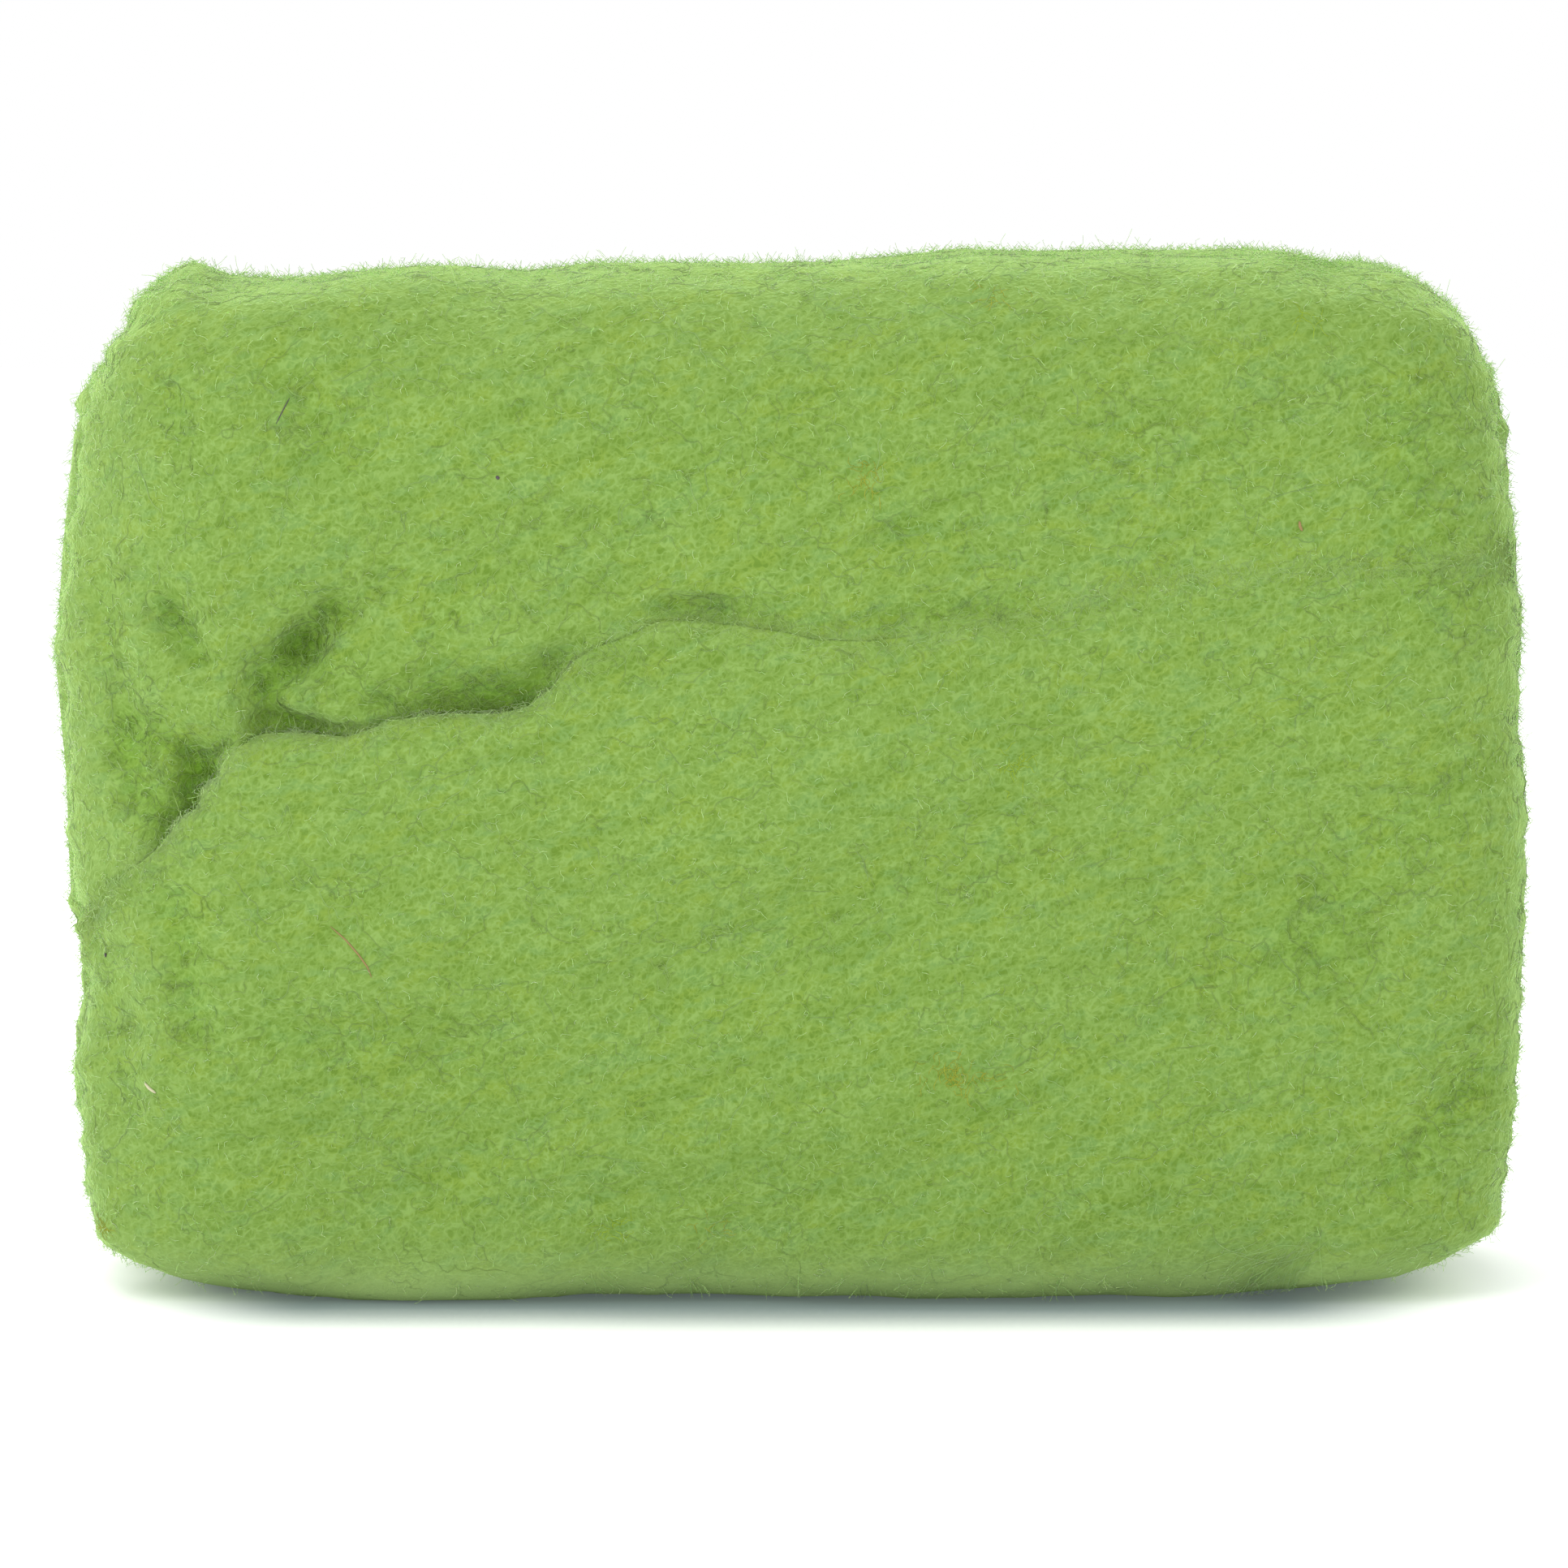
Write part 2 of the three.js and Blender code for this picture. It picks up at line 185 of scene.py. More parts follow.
# %% Ways to read the tables
def smooth(t):
    c = np.clip(t, 0, 1)
    return c * c * (3 - 2 * c)


def smooth_place(value):
    """Where the smooth step reaches a value."""
    return 0.5 - math.sin(math.asin(1 - 2 * value) / 3)


def mix(a, b, t):
    return a + (b - a) * t


def look_up(table, key, column=1):
    """A table's value, eased half by a line and half by a smooth step."""
    rows = np.array(table, float)
    keys = rows[:, 0]
    key = np.clip(np.asarray(key, float), keys[0], keys[-1])
    i = np.clip(np.searchsorted(keys, key, side="right") - 1, 0, len(keys) - 2)
    share = (key - keys[i]) / (keys[i + 1] - keys[i])
    return mix(rows[i, column], rows[i + 1, column], mix(share, smooth(share), 0.5))


# %% [markdown]
# ## One cross-section of the wrap
#
# Cut across, the bundle is one thick line wound into a flat spiral. It starts at the thin edge of the
# flap on the front, goes under, up the back, over the top and down the front again, slips in behind
# the flap, and makes one more turn inside. Each row of the section has a point on the sheet's outer
# side and one on its inner side. The folds are half superellipses, squarer than a circle, cut into
# steps of equal length so that the mesh stays even.

# %% Fold and flap shapes
ROWS = {  # how many rows each stretch of the spiral has
    "tip": 6, "wedge": 19, "flap": 18, "outer fold": 48, "back": 50, "front": 20, "mouth": 11,
    "under": 9, "inner front": 4, "inner fold": 10, "inner back": 10, "inner mouth": 4, "inner end": 6,
}
FINE_TURNS = 400  # how finely a fold is followed before it is cut into equal steps
FOOT_ABOVE_FOLD = 3  # the flap thins out at least this far above the bottom fold


def fold_curve(rise, squareness, z, side, radius, steps, turned):
    """Points (y, z) round one fold, from front to back or, turned, from back to front."""
    turn = np.linspace(0, math.pi, FINE_TURNS)
    power = 2 / squareness
    y = -np.sign(np.cos(turn)) * radius * np.abs(np.cos(turn)) ** power
    up = z + side * rise * radius * np.abs(np.sin(turn)) ** power
    along = np.concatenate([[0], np.cumsum(np.hypot(np.diff(y), np.diff(up)))])
    at = np.linspace(0, along[-1], steps + 1)
    curve = np.stack([np.interp(at, along, y), np.interp(at, along, up)], 1)
    return curve[::-1] if turned else curve


def lap_foot(seam_z):
    """The height at which the flap has its full thickness."""
    return max(seam_z - LAP, BOTTOM_FOLD_Z + FOOT_ABOVE_FOLD)


def flap_share(seam_z, z):
    """How much of its thickness the flap has at a height."""
    return smooth((seam_z - z) / (seam_z - lap_foot(seam_z)))


def edge_gap(groove):
    """The gap behind the flap's edge, which is open only where the groove is deep."""
    return min(GAP, CLOSED_GAP + GAP_SHARE * groove)


def sunk(x, z):
    """How far the settling of the bundle lowers a place on it."""
    height = np.clip(z / HEIGHT, 0, 1)
    return look_up(TOP_LINE, x) * height + SETTLE * (1 - height)


def seam_height(x):
    """The height of the flap's edge before the bundle settles."""
    settled = float(look_up(SEAM, x)) + FRONT_RISE
    return (settled + SETTLE) / (1 - (float(look_up(TOP_LINE, x)) - SETTLE) / HEIGHT)


def beside(line, x, z):
    """How near a settled place is to a line, from 1 on it to 0 far from it."""
    x0, z0, x1, z1, width = line[:5]
    z = z - FRONT_RISE
    dx, dz = x1 - x0, z1 - z0
    share = np.clip(((x - x0) * dx + (z - z0) * dz) / (dx * dx + dz * dz), 0, 1)
    away = np.hypot(x - x0 - share * dx, z - z0 - share * dz) / width
    return np.exp(-2 * away * away)


# %% The rows of one cross-section
def section(x):
    """Rows of outer point, inner point, place on the plain outside, inset, and how far it is shown."""
    seam_z = seam_height(x)
    groove, mouth = (float(look_up(SEAM, x, column)) for column in (2, 3))
    lip = min(groove, LIP_LOFT)
    tip = lip / 2
    slope = tip * LIP_SLOPE
    gap = edge_gap(groove)
    foot = lap_foot(seam_z)
    rows = []

    def add(outer, inner, inset, shown=0.0, outside=None):
        rows.append((*outer, *inner, *(outside or outer), inset, shown))

    def stations(name):
        return np.arange(1, ROWS[name] + 1) / ROWS[name]

    def upright(y, z, inset, shown=0.0):
        away = math.copysign(BATT / 2, y)
        add((y + away, z), (y - away, z), inset, shown)

    def fold(name, rise, squareness, z, side, track, insets, shown=0.0, turned=False):
        steps = ROWS[name]
        outer = fold_curve(rise, squareness, z, side, track + BATT / 2, steps, turned)
        inner = fold_curve(rise, squareness, z, side, track - BATT / 2, steps, turned)
        for i in range(1, steps + 1):
            add(tuple(outer[i]), tuple(inner[i]), mix(insets[0], insets[1], i / steps), shown)

    def flap_loft(z):
        return mix(lip, BATT, flap_share(seam_z, z))

    def set_in(z):
        """How far behind the face the layer under the flap lies."""
        if z <= seam_z:
            share = flap_share(seam_z, z)
            return mix(groove, BATT, share) + mix(gap, GAP, share)
        up = (z - seam_z) / mouth
        out = TONGUE[5] * float(beside(TONGUE, x, z - sunk(x, z))) * float(smooth((z - seam_z) / 2.5))
        level = min(0.3, max(0.0, (12 - mouth) / 8))  # low mouths have a level floor, high ones slope
        return (groove + gap) * float(1 - smooth((up - level) / (1 - level))) * (1 - out)

    bottom = (BOTTOM_RISE, BOTTOM_SQUARENESS, BOTTOM_FOLD_Z, -1)
    top = (TOP_RISE, TOP_SQUARENESS, TOP_FOLD_Z, 1)
    edge, flap_edge, hidden = OUTER_EDGE_INSET, FLAP_INSET, INNER_EDGE_INSET

    add((FACE + tip, seam_z), (FACE + tip, seam_z), flap_edge, 1, (FACE, seam_z))
    for t in stations("tip"):
        z = seam_z - slope * (1 - math.cos(t * math.pi / 2))
        rounding = math.sin(t * math.pi / 2)
        outer = (FACE + tip * (1 - rounding), z)
        add(outer, (mix(FACE + tip, FACE + flap_loft(z), rounding), z), flap_edge, 1, (FACE, z))
    for t in stations("wedge"):
        z = mix(seam_z - slope, foot, t)
        add((FACE, z), (FACE + flap_loft(z), z), flap_edge, 1)
    for t in stations("flap"):
        upright(-OUTER_TRACK, mix(foot, BOTTOM_FOLD_Z, t), flap_edge, 1)
    fold("outer fold", *bottom, OUTER_TRACK, (flap_edge, edge), 1)
    for t in stations("back"):
        upright(OUTER_TRACK, mix(BOTTOM_FOLD_Z, TOP_FOLD_Z, t), edge, 1)
    fold("outer fold", *top, OUTER_TRACK, (edge, edge), 1, turned=True)
    for t in stations("front"):
        upright(-OUTER_TRACK, mix(TOP_FOLD_Z, seam_z + mouth, t), edge, 1)
    for t in stations("mouth"):
        z = mix(seam_z + mouth, seam_z, t)
        y = FACE + set_in(z)
        add((y, z), (y + BATT, z), edge, 1, (FACE, z))
    for t in stations("under"):
        z = mix(seam_z, foot, t)
        y = FACE + set_in(z)
        add((y, z), (y + BATT, z), mix(edge, hidden, t), (1 - t) ** 6, (FACE, z))
    for t in stations("inner front"):
        upright(-INNER_TRACK, mix(foot, BOTTOM_FOLD_Z, t), hidden)
    fold("inner fold", *bottom, INNER_TRACK, (hidden, 0))
    for t in stations("inner back"):
        upright(INNER_TRACK, mix(BOTTOM_FOLD_Z, TOP_FOLD_Z, t), 0)
    fold("inner fold", *top, INNER_TRACK, (0, hidden), turned=True)
    for t in stations("inner front"):
        upright(-INNER_TRACK, mix(TOP_FOLD_Z, seam_z + mouth, t), hidden)

    def core(z):
        """The outer side of the innermost layer."""
        return FACE + set_in(z) + BATT + GAP

    closing = -GAP / 2 - POINT_LOFT
    end = mix(seam_z, foot, smooth_place((closing - FACE - BATT - 2 * GAP - groove) / (BATT - groove)))
    for t in stations("inner mouth"):
        z = mix(seam_z + mouth, seam_z, t)
        add((core(z), z), (-GAP / 2, z), hidden)
    for t in stations("inner end"):
        z = mix(seam_z, end, t)
        add((core(z), z), (-GAP / 2, z), hidden)
    point = ((core(end) - GAP / 2) / 2, end - POINT_LOFT)
    add(point, point, hidden)
    return np.array(rows)


test_section = section(0.0)
print("a cross-section has", len(test_section), "rows")
middle = (test_section[:, 0:2] + test_section[:, 2:4]) / 2


# %% [markdown]
# ## From the even wrap to the settled bundle
#
# The even spiral would look like a folded board. One smooth warp of space settles it: the ends are
# drawn in and pinched, the top line sinks here and there, the middle swells, creases press into the
# front, and the floor flattens the underside. Since the warp bends the space and not the layers, layers
# that were clear of each other stay clear.

# %% The warp
def pinch(end, away, more=0.0):
    """The share of the full depth at a distance from an end."""
    length, share = end
    return mix(share + more, 1, np.sin(np.clip(away / length, 0, 1) * math.pi / 2))


def crease_depth(x, z):
    return sum(crease[5] * beside(crease, x, z) for crease in CREASES)


def swell(x, z):
    """Three broad waves, as shares of the depth, that keep the faces from being flat."""
    return (0.018 * np.sin(x / 23 + z / 61 + 0.6) + 0.014 * np.sin(z / 19 - x / 57 + 2.1)
            + 0.010 * np.sin(x / 13 + z / 17))


def ragged(y, z):
    """How unevenly the combed fibres end at the two sides."""
    fine = 0.7 * np.sin(z / 1.3 + 1.7 * np.sin(z / 5.3) + y / 6)
    broad = 0.4 * np.sin(z / 2.9 + 2 * np.sin(y / 9))
    return fine + broad


def settle(at, y, z, inset):
    """Where the settled bundle has the point that the even wrap has at a width, depth and height."""
    left = look_up(LEFT_END, z) - WIDTH / 2 + ragged(y, z)
    right = WIDTH / 2 - look_up(RIGHT_END, z) - 0.7 * ragged(y + 11, z + 37)
    x = mix(left + inset, right - inset, at / WIDTH)
    height = np.clip(z / HEIGHT, 0, 1)
    foot = LEFT_FOOT * (1 - smooth(height / 0.4))
    depth = pinch(LEFT_PINCH, x - left, foot) * pinch(RIGHT_PINCH, right - x)
    depth *= 1 + BELLY * np.sin(math.pi * height) + swell(x, z)
    front = smooth((-y - (HALF_DEPTH - BATT)) / BATT)
    up = z - sunk(x, z)
    return np.stack([x, y * depth + front * crease_depth(x, up), np.maximum(0, up)], -1)


# %% [markdown]
# ## The skin of the batt
#
# The skin is one closed mesh: columns along the bundle, rows round the spiral, and two sides that share
# their points at the rim. Small lumps then push it in and out, because carded wool is never smooth.
# They are stretched along the way in which the fibres lie. Every layer of the front moves with them,
# and deeper in they fade.

# %% Columns along the bundle
COLUMN = 2.2  # width of a column
FINE_COLUMN = 1.3
FINE_FROM, FINE_TO = -118, -34  # x between which the pockets need finer columns


def columns():
    """Each column's place, and how far the sheet's two sides have parted there."""
    angles = np.arange(4) * math.pi / 8
    stops = [LIP - WIDTH / 2, FINE_FROM, FINE_TO, WIDTH / 2 - LIP]
    at = list(LIP * (1 - np.cos(angles)) - WIDTH / 2)
    for start, stop, spacing in zip(stops, stops[1:], (COLUMN, FINE_COLUMN, COLUMN)):
        at += list(np.linspace(start, stop, round((stop - start) / spacing), endpoint=False))
    parted = list(np.sin(angles)) + [1] * (len(at) - len(angles) + 1) + list(np.sin(angles[::-1]))
    at += [stops[-1]] + list(WIDTH / 2 - LIP * (1 - np.cos(angles[::-1])))
    return np.array(at), np.array(parted)


DRAWN_IN = 0.975  # the ends are drawn in, so the seam's places move towards the middle


def skin_grid():
    """Both sides and the plain outside as columns by rows, the same before settling, and two shares."""
    at, parted = columns()
    sections = np.array([section(x * DRAWN_IN) for x in at])
    outer, inner = sections[..., 0:2], sections[..., 2:4]
    halfway = (outer + inner) / 2
    thin = slice(0, ROWS["tip"] + ROWS["wedge"] + 1)
    # Where the flap is thin, its ends round off together with the layer under it
    halfway[:, thin, 0] += (BATT - (inner - outer)[:, thin, 0]) / 2
    open_by = parted[:, None, None]
    sides = [mix(halfway, outer, open_by), mix(halfway, inner, open_by), sections[..., 4:6]]
    across = np.broadcast_to(at[:, None] + WIDTH / 2, sections.shape[:2])
    placed = [settle(across, s[..., 0], s[..., 1], sections[..., 6]) for s in sides]
    return placed, sides, parted, sections[..., 7]


(outer_side, inner_side, outside), flat_sides, parted_by, shown_rows = skin_grid()
columns_count, rows_count = shown_rows.shape
print("the skin has", columns_count, "columns of", rows_count, "rows")


# %% Lumps
def lay_slope(x, z):
    """The slope of the fibres on the faces, in radians up to the right."""
    upper_left = np.exp(-((x + 85) / 60) ** 2 - ((z - 145) / 35) ** 2)
    lower_right = np.exp(-((x - 105) / 30) ** 2 - ((z - 35) / 40) ** 2)
    level = smooth((z - 170) / 15) + smooth((22 - z) / 18)
    return (0.24 + 0.42 * upper_left + 0.5 * lower_right) * (1 - 0.8 * np.clip(level, 0, 1))


LUMPS = [  # size, stretch along the fibres, slope of the fibres, height
    (32, 1.8, 0.3, 2.2),
    (12, 2.8, 0.45, 0.9),
    (6, 2.6, 0.2, 0.35),
    (3.2, 2, 0.35, 0.18),
]
RELIEF_REACH = 20  # a lump is felt this deep into the layers under it


def lumps(points):
    """How far each point (in mm) stands out of the smooth outside."""
    total = np.zeros(len(points))
    for size, stretch, slope, tall in LUMPS:
        along = points[:, 0] * math.cos(slope) + points[:, 2] * math.sin(slope)
        across = points[:, 2] * math.cos(slope) - points[:, 0] * math.sin(slope)
        spots = np.stack([along / (size * stretch), points[:, 1] / size, across / size], 1)
        total += tall * np.array([noise.noise(Vector(s)) for s in spots])
    return total


def outward(grid):
    """The direction out of a grid of points, of length 1."""
    normal = np.cross(np.gradient(grid, axis=1), np.gradient(grid, axis=0))
    length = np.linalg.norm(normal, axis=-1, keepdims=True)
    return normal / np.maximum(length, 1e-9)


# %% Build the skin's mesh
def plain_mesh(name, points, faces):
    mesh = bpy.data.meshes.new(name)
    mesh.from_pydata(points * MM, [], faces)
    mesh.update()
    piece = bpy.data.objects.new(name, mesh)
    bpy.context.scene.collection.objects.link(piece)
    return piece


OUTSIDE_ROWS = ["tip", "wedge", "flap", "outer fold", "back", "outer fold", "front", "mouth", "under"]
ROW_ENDS = np.cumsum([ROWS[name] for name in OUTSIDE_ROWS]) + 1
SEAM_ROW = ROW_ENDS[7] - 1  # the row of the outside that lies right behind the flap's edge


def front_rows():
    """True for the rows whose layers lie on one another behind the front."""
    on_front = np.zeros(rows_count, bool)
    on_front[:ROW_ENDS[1]] = True
    on_front[ROW_ENDS[6]:ROW_ENDS[8]] = True
    return on_front


def lumpy_sides():
    """Both sides of the sheet with the lumps on them."""
    tall = lumps(outside.reshape(-1, 3)).reshape(outside.shape[:2])
    on_front = front_rows()
    normal = mix(
        np.sign(outside[..., 0:1]) * np.array([1.0, 0, 0]), outward(outside), parted_by[:, None, None]
    )
    # The flap's edge moves just as the layer right behind it, so that no slit opens between them
    normal[:, :ROW_ENDS[0]] = normal[:, SEAM_ROW:SEAM_ROW + 1]
    shares = []
    for side, unshown in ((0, shown_rows), (1, shown_rows * 0)):
        deep = smooth(1 - (flat_sides[side][..., 0] - FACE) / RELIEF_REACH)
        shares.append(np.where(on_front, deep, unshown))
    rim = (shares[0] + shares[1]) / 2
    shares = [mix(rim, share, parted_by[:, None]) for share in shares]
    return [
        side + normal * (tall * share)[..., None]
        for side, share in ((outer_side, shares[0]), (inner_side, shares[1]))
    ]


def skin_mesh():
    """Points and triangles, how far each point is shown, and how deep it lies in the groove."""
    outer, inner = lumpy_sides()
    points, shown, hollow = [], [], []
    index = np.zeros((columns_count, rows_count, 2), int)
    behind = front_rows()
    behind[:ROW_ENDS[1]] = False
    rim = np.zeros((columns_count, rows_count), bool)
    rim[[0, -1], :] = True
    rim[:, [0, -1]] = True
    for i in range(columns_count):
        for j in range(rows_count):
            index[i, j, 0] = len(points)
            points.append(outer[i, j])
            shown.append(max(shown_rows[i, j], 0.8 * (parted_by[i] < 1)))
            hollow.append(behind[j] * parted_by[i] * (flat_sides[0][i, j, 0] - FACE))
            if rim[i, j]:
                index[i, j, 1] = index[i, j, 0]
            else:
                index[i, j, 1] = len(points)
                points.append(inner[i, j])
                shown.append(0.8 * (parted_by[i] < 0.9))
                hollow.append(0)
    a, b = index[:-1, :-1], index[1:, :-1]
    c, d = index[1:, 1:], index[:-1, 1:]
    # Both sides are cut along the same diagonal, so that they never cross where the flap is thin
    corners = [(a, d, c, 0), (a, c, b, 0), (a, b, c, 1), (a, c, d, 1)]
    faces = []
    for *three, side in corners:
        faces.append(np.stack([corner[..., side] for corner in three], -1).reshape(-1, 3))
    points = np.array(points)
    centre = (points.min(0) + points.max(0)) / 2
    points[:, 1] -= centre[1]
    points[:, 2] = np.maximum(0, points[:, 2])
    faces = [tuple(dict.fromkeys(f)) for f in np.concatenate(faces).tolist()]
    return points, [f for f in faces if len(f) > 2], np.array(shown), np.array(hollow)


skin_points, skin_faces, skin_shown, skin_hollow = skin_mesh()
skin = plain_mesh("wool_skin", skin_points, skin_faces)
skin.data.shade_smooth()
print("the skin has", sum(len(f) - 2 for f in skin_faces), "triangles")

# %% [markdown]
# ## Node maths as Python
#
# Materials and Geometry Nodes are both built from nodes. A small class wraps one socket, so that an
# expression such as `1 - mask * 0.5` adds its Math nodes by itself. Every other node comes from one
# method that takes the node's type, its settings and what its sockets are fed with.


# %% A wire and a graph
class Wire:
    """A node's output that takes part in ordinary expressions."""

    def __init__(self, graph, socket):
        self.graph = graph
        self.socket = socket
        self.is_vector = socket.type == "VECTOR"

    def __add__(self, other):
        return self.graph.maths("ADD", self, other)

    def __sub__(self, other):
        return self.graph.maths("SUBTRACT", self, other)

    def __rsub__(self, other):
        return self.graph.maths("SUBTRACT", other, self)

    def __mul__(self, other):
        return self.graph.maths("MULTIPLY", self, other)

    def __truediv__(self, other):
        return self.graph.maths("DIVIDE", self, other)

    __radd__ = __add__
    __rmul__ = __mul__

    def size(self):
        return self.graph.maths("ABSOLUTE", self)

    def sine(self):
        return self.graph.maths("SINE", self)

    def cosine(self):
        return self.graph.maths("COSINE", self)

    def fade(self, start, stop, to_low=0.0, to_high=1.0):
        return self.graph.make(
            "ShaderNodeMapRange", {"interpolation_type": "SMOOTHSTEP"},
            {"Value": self, "From Min": start, "From Max": stop, "To Min": to_low, "To Max": to_high},
        )


class Graph:
    """Builds one node tree, a material's or a Geometry Nodes group's."""

    def __init__(self, tree):
        self.tree = tree

    @staticmethod
    def pick(sockets, key):
        if isinstance(key, int):
            return sockets[key]
        return next(s for s in sockets if s.enabled and (key is None or s.name == key))

    def feed(self, socket, value):
        if isinstance(value, Wire):
            self.tree.links.new(value.socket, socket)
        elif socket.type == "VECTOR" and isinstance(value, (int, float)):
            socket.default_value = (value, value, value)
        else:
            socket.default_value = value

    def make(self, kind, settings=None, values=None, output=None):
        node = self.tree.nodes.new(kind)
        for name, value in (settings or {}).items():
            if name == "stops":
                self.set_stops(node.color_ramp, value)
            else:
                setattr(node, name, value)
        for key, value in (values or {}).items():
            self.feed(self.pick(node.inputs, key), value)
        if not node.outputs:
            return None
        return Wire(self, self.pick(node.outputs, output))

    @staticmethod
    def set_stops(ramp, stops):
        while len(ramp.elements) < len(stops):
            ramp.elements.new(1.0)
        for element, (place, colour) in zip(ramp.elements, stops):
            element.position = place
            element.color = colour

    def maths(self, operation, *terms):
        vector = any(isinstance(t, tuple) or getattr(t, "is_vector", False) for t in terms)
        kind = "ShaderNodeVectorMath" if vector else "ShaderNodeMath"
        return self.make(kind, {"operation": operation}, dict(enumerate(terms)))

    def blend(self, factor, a, b, mode="MIX"):
        return self.make(
            "ShaderNodeMix", {"data_type": "RGBA", "blend_type": mode},
            {0: factor, 6: a, 7: b}, output=2,
        )

    def noise(self, place, detail=2.0, roughness=0.5, colour=False):
        return self.make(
            "ShaderNodeTexNoise", None,
            {"Vector": place, "Scale": 1.0, "Detail": detail, "Roughness": roughness},
            output=1 if colour else 0,
        )


print("node maths is ready")

# %% [markdown]
# ## The dyed wool
#
# Melange wool is never one green. Grass-green, yellow-green and mint fibres were carded together, so
# the colour drifts in soft patches a few centimetres wide, with finer flecks inside. The skin also needs
# the look of the thousands of fibres that are too fine to model. Contour lines of a smooth noise are
# thin, curly and closed, much like crimped wool, so several layers of them, each turned and stretched
# its own way, make a felt of fine lines. It drives the bump, and the colour a little: the gaps between
# the lines, the low clumps and the broad streaks get painted shade.

# %% Colours
TONE = 0.482  # how much darker the dyed wool is than it looks in so bright a room


def srgb(red, green, blue):
    def linear(c):
        c /= 255
        return TONE * (c / 12.92 if c <= 0.04045 else ((c + 0.055) / 1.055) ** 2.4)
    return (linear(red), linear(green), linear(blue), 1.0)


GRASS = srgb(141, 178, 82)
YELLOW_GREEN = srgb(150, 182, 70)
MINT = srgb(133, 177, 100)
# Painted shade: the darker green for the gaps between fibres
GAP_SHADE_GREEN = srgb(120, 157, 58)
STRAND = srgb(161, 198, 106)
# Painted light: a paler green for the bottom, the rims and the left end, as if more light fell there
PAINTED_LIGHT_GREEN = srgb(200, 234, 146)
POCKET_SHADE = (0.8, 0.97, 0.42, 1.0)  # what light keeps of each colour deep in a pocket


# %% The drifting colour shared by the skin and its fibres
def millimetres(graph):
    return graph.make("ShaderNodeTexCoord", output="Object") * 1000.0


def turned(graph, place, slope):
    return graph.make(
        "ShaderNodeVectorRotate", {"rotation_type": "Y_AXIS"}, {"Vector": place, "Angle": slope}
    )


def drifting_green(graph, place):
    broad = graph.noise(turned(graph, place, 0.4) / (26.0, 20.0, 8.0), detail=2.0)
    patches = graph.noise(turned(graph, place, 0.3) / (4.5, 4.0, 2.4) + 40.0, detail=2.0)
    cool = graph.noise(turned(graph, place, 0.2) / (5.5, 5.0, 2.6) + 90.0, detail=2.0)
    yellow = (broad * 0.4 + patches * 0.6).fade(0.47, 0.66)
    colour = graph.blend(yellow * 0.7, GRASS, YELLOW_GREEN)
    return graph.blend(cool.fade(0.5, 0.7) * 0.55, colour, MINT)


# %% The felt of fine lines
FELT = [  # size in mm, stretch, slope in radians, width of the lines
    (1.7, 1.5, 0.25, 0.10),
    (1.5, 1.6, 0.85, 0.10),
    (1.6, 1.5, -0.45, 0.10),
    (1.4, 1.4, 1.40, 0.10),
    (1.9, 1.7, 0.50, 0.09),
    (1.4, 1.5, -0.10, 0.11),
]


def felt(graph, place):
    """How many fine lines cross at a place, from 0 in the gaps up to about 3."""
    total = None
    bend = (graph.noise(place / 2.2, detail=1.0, colour=True) - 0.5) * 1.6
    for i, (size, stretch, slope, width) in enumerate(FELT):
        spot = turned(graph, place, slope) / (size * stretch, size, size) + bend + 7.0 * i
        line = 1 - (graph.noise(spot, detail=0.0) - 0.5).size().fade(0.0, width)
        total = line if total is None else total + line
    return total


# %% Finish of the skin
def new_material(name):
    material = bpy.data.materials.new(name)
    material.use_nodes = True
    material.node_tree.nodes.clear()
    return material, Graph(material.node_tree)


def finish_with(graph, values):
    shader = graph.make("ShaderNodeBsdfPrincipled", None, values)
    graph.make("ShaderNodeOutputMaterial", None, {"Surface": shader})


def attribute(graph, name):
    return graph.make("ShaderNodeAttribute", {"attribute_name": name}, output="Fac")


def skin_wool():
    material, graph = new_material("carded_wool")
    place = millimetres(graph)
    lines = felt(graph, place)
    clumps = graph.noise(turned(graph, place, 0.3) / (2.2, 2.0, 1.2) + 15.0, detail=2.0)
    streaks = graph.noise(turned(graph, place, 0.35) / (20.0, 12.0, 3.6) + 60.0, detail=3.0)
    green = drifting_green(graph, place)
    # Painted shade: darker in the gaps between the fine lines, under the low clumps and in the broad
    # streaks
    between_lines = (1 - lines.fade(0.0, 1.5)) * 0.75
    gaps = between_lines + clumps.fade(0.46, 0.28) * 0.5 + streaks.fade(0.52, 0.28) * 0.5
    green = graph.blend(gaps.fade(0.0, 1.4), green, GAP_SHADE_GREEN)
    bright_lines = lines.fade(1.2, 3.4) * 0.8 * streaks.fade(0.3, 0.6, 0.4, 1.0)
    green = graph.blend(bright_lines, green, STRAND)
    # Painted light at the bottom, along the rims and a little on the left end
    green = graph.blend(attribute(graph, "pale") * 0.8, green, PAINTED_LIGHT_GREEN)
    # Painted shade deep in the pockets and creases
    green = graph.blend(attribute(graph, "hollow"), green, POCKET_SHADE, "MULTIPLY")
    # Painted shade between the plies on the ends
    plies = graph.noise(place / (5.0, 0.9, 12.0) + 30.0, detail=2.0)
    green = graph.blend(attribute(graph, "ends") * plies.fade(0.52, 0.34), green, GAP_SHADE_GREEN)
    bump = graph.make(
        "ShaderNodeBump", None,
        {
            "Strength": 0.3, "Distance": 0.0003, "Height": lines * 0.4 + clumps,
            "Normal": graph.make("ShaderNodeAttribute", {"attribute_name": "even"}, output="Vector"),
        },
    )
    finish_with(graph, {
        "Base Color": green,
        "Roughness": 0.98 - lines * 0.03,
        "Sheen Weight": 0.8,
        "Sheen Roughness": 0.4,
        "Sheen Tint": (0.62, 0.92, 0.34, 1.0),
        "Specular IOR Level": 0.1,
        "Normal": bump,
    })
    return material


skin.data.materials.append(skin_wool())
print("the skin wears", skin.data.materials[0].name)
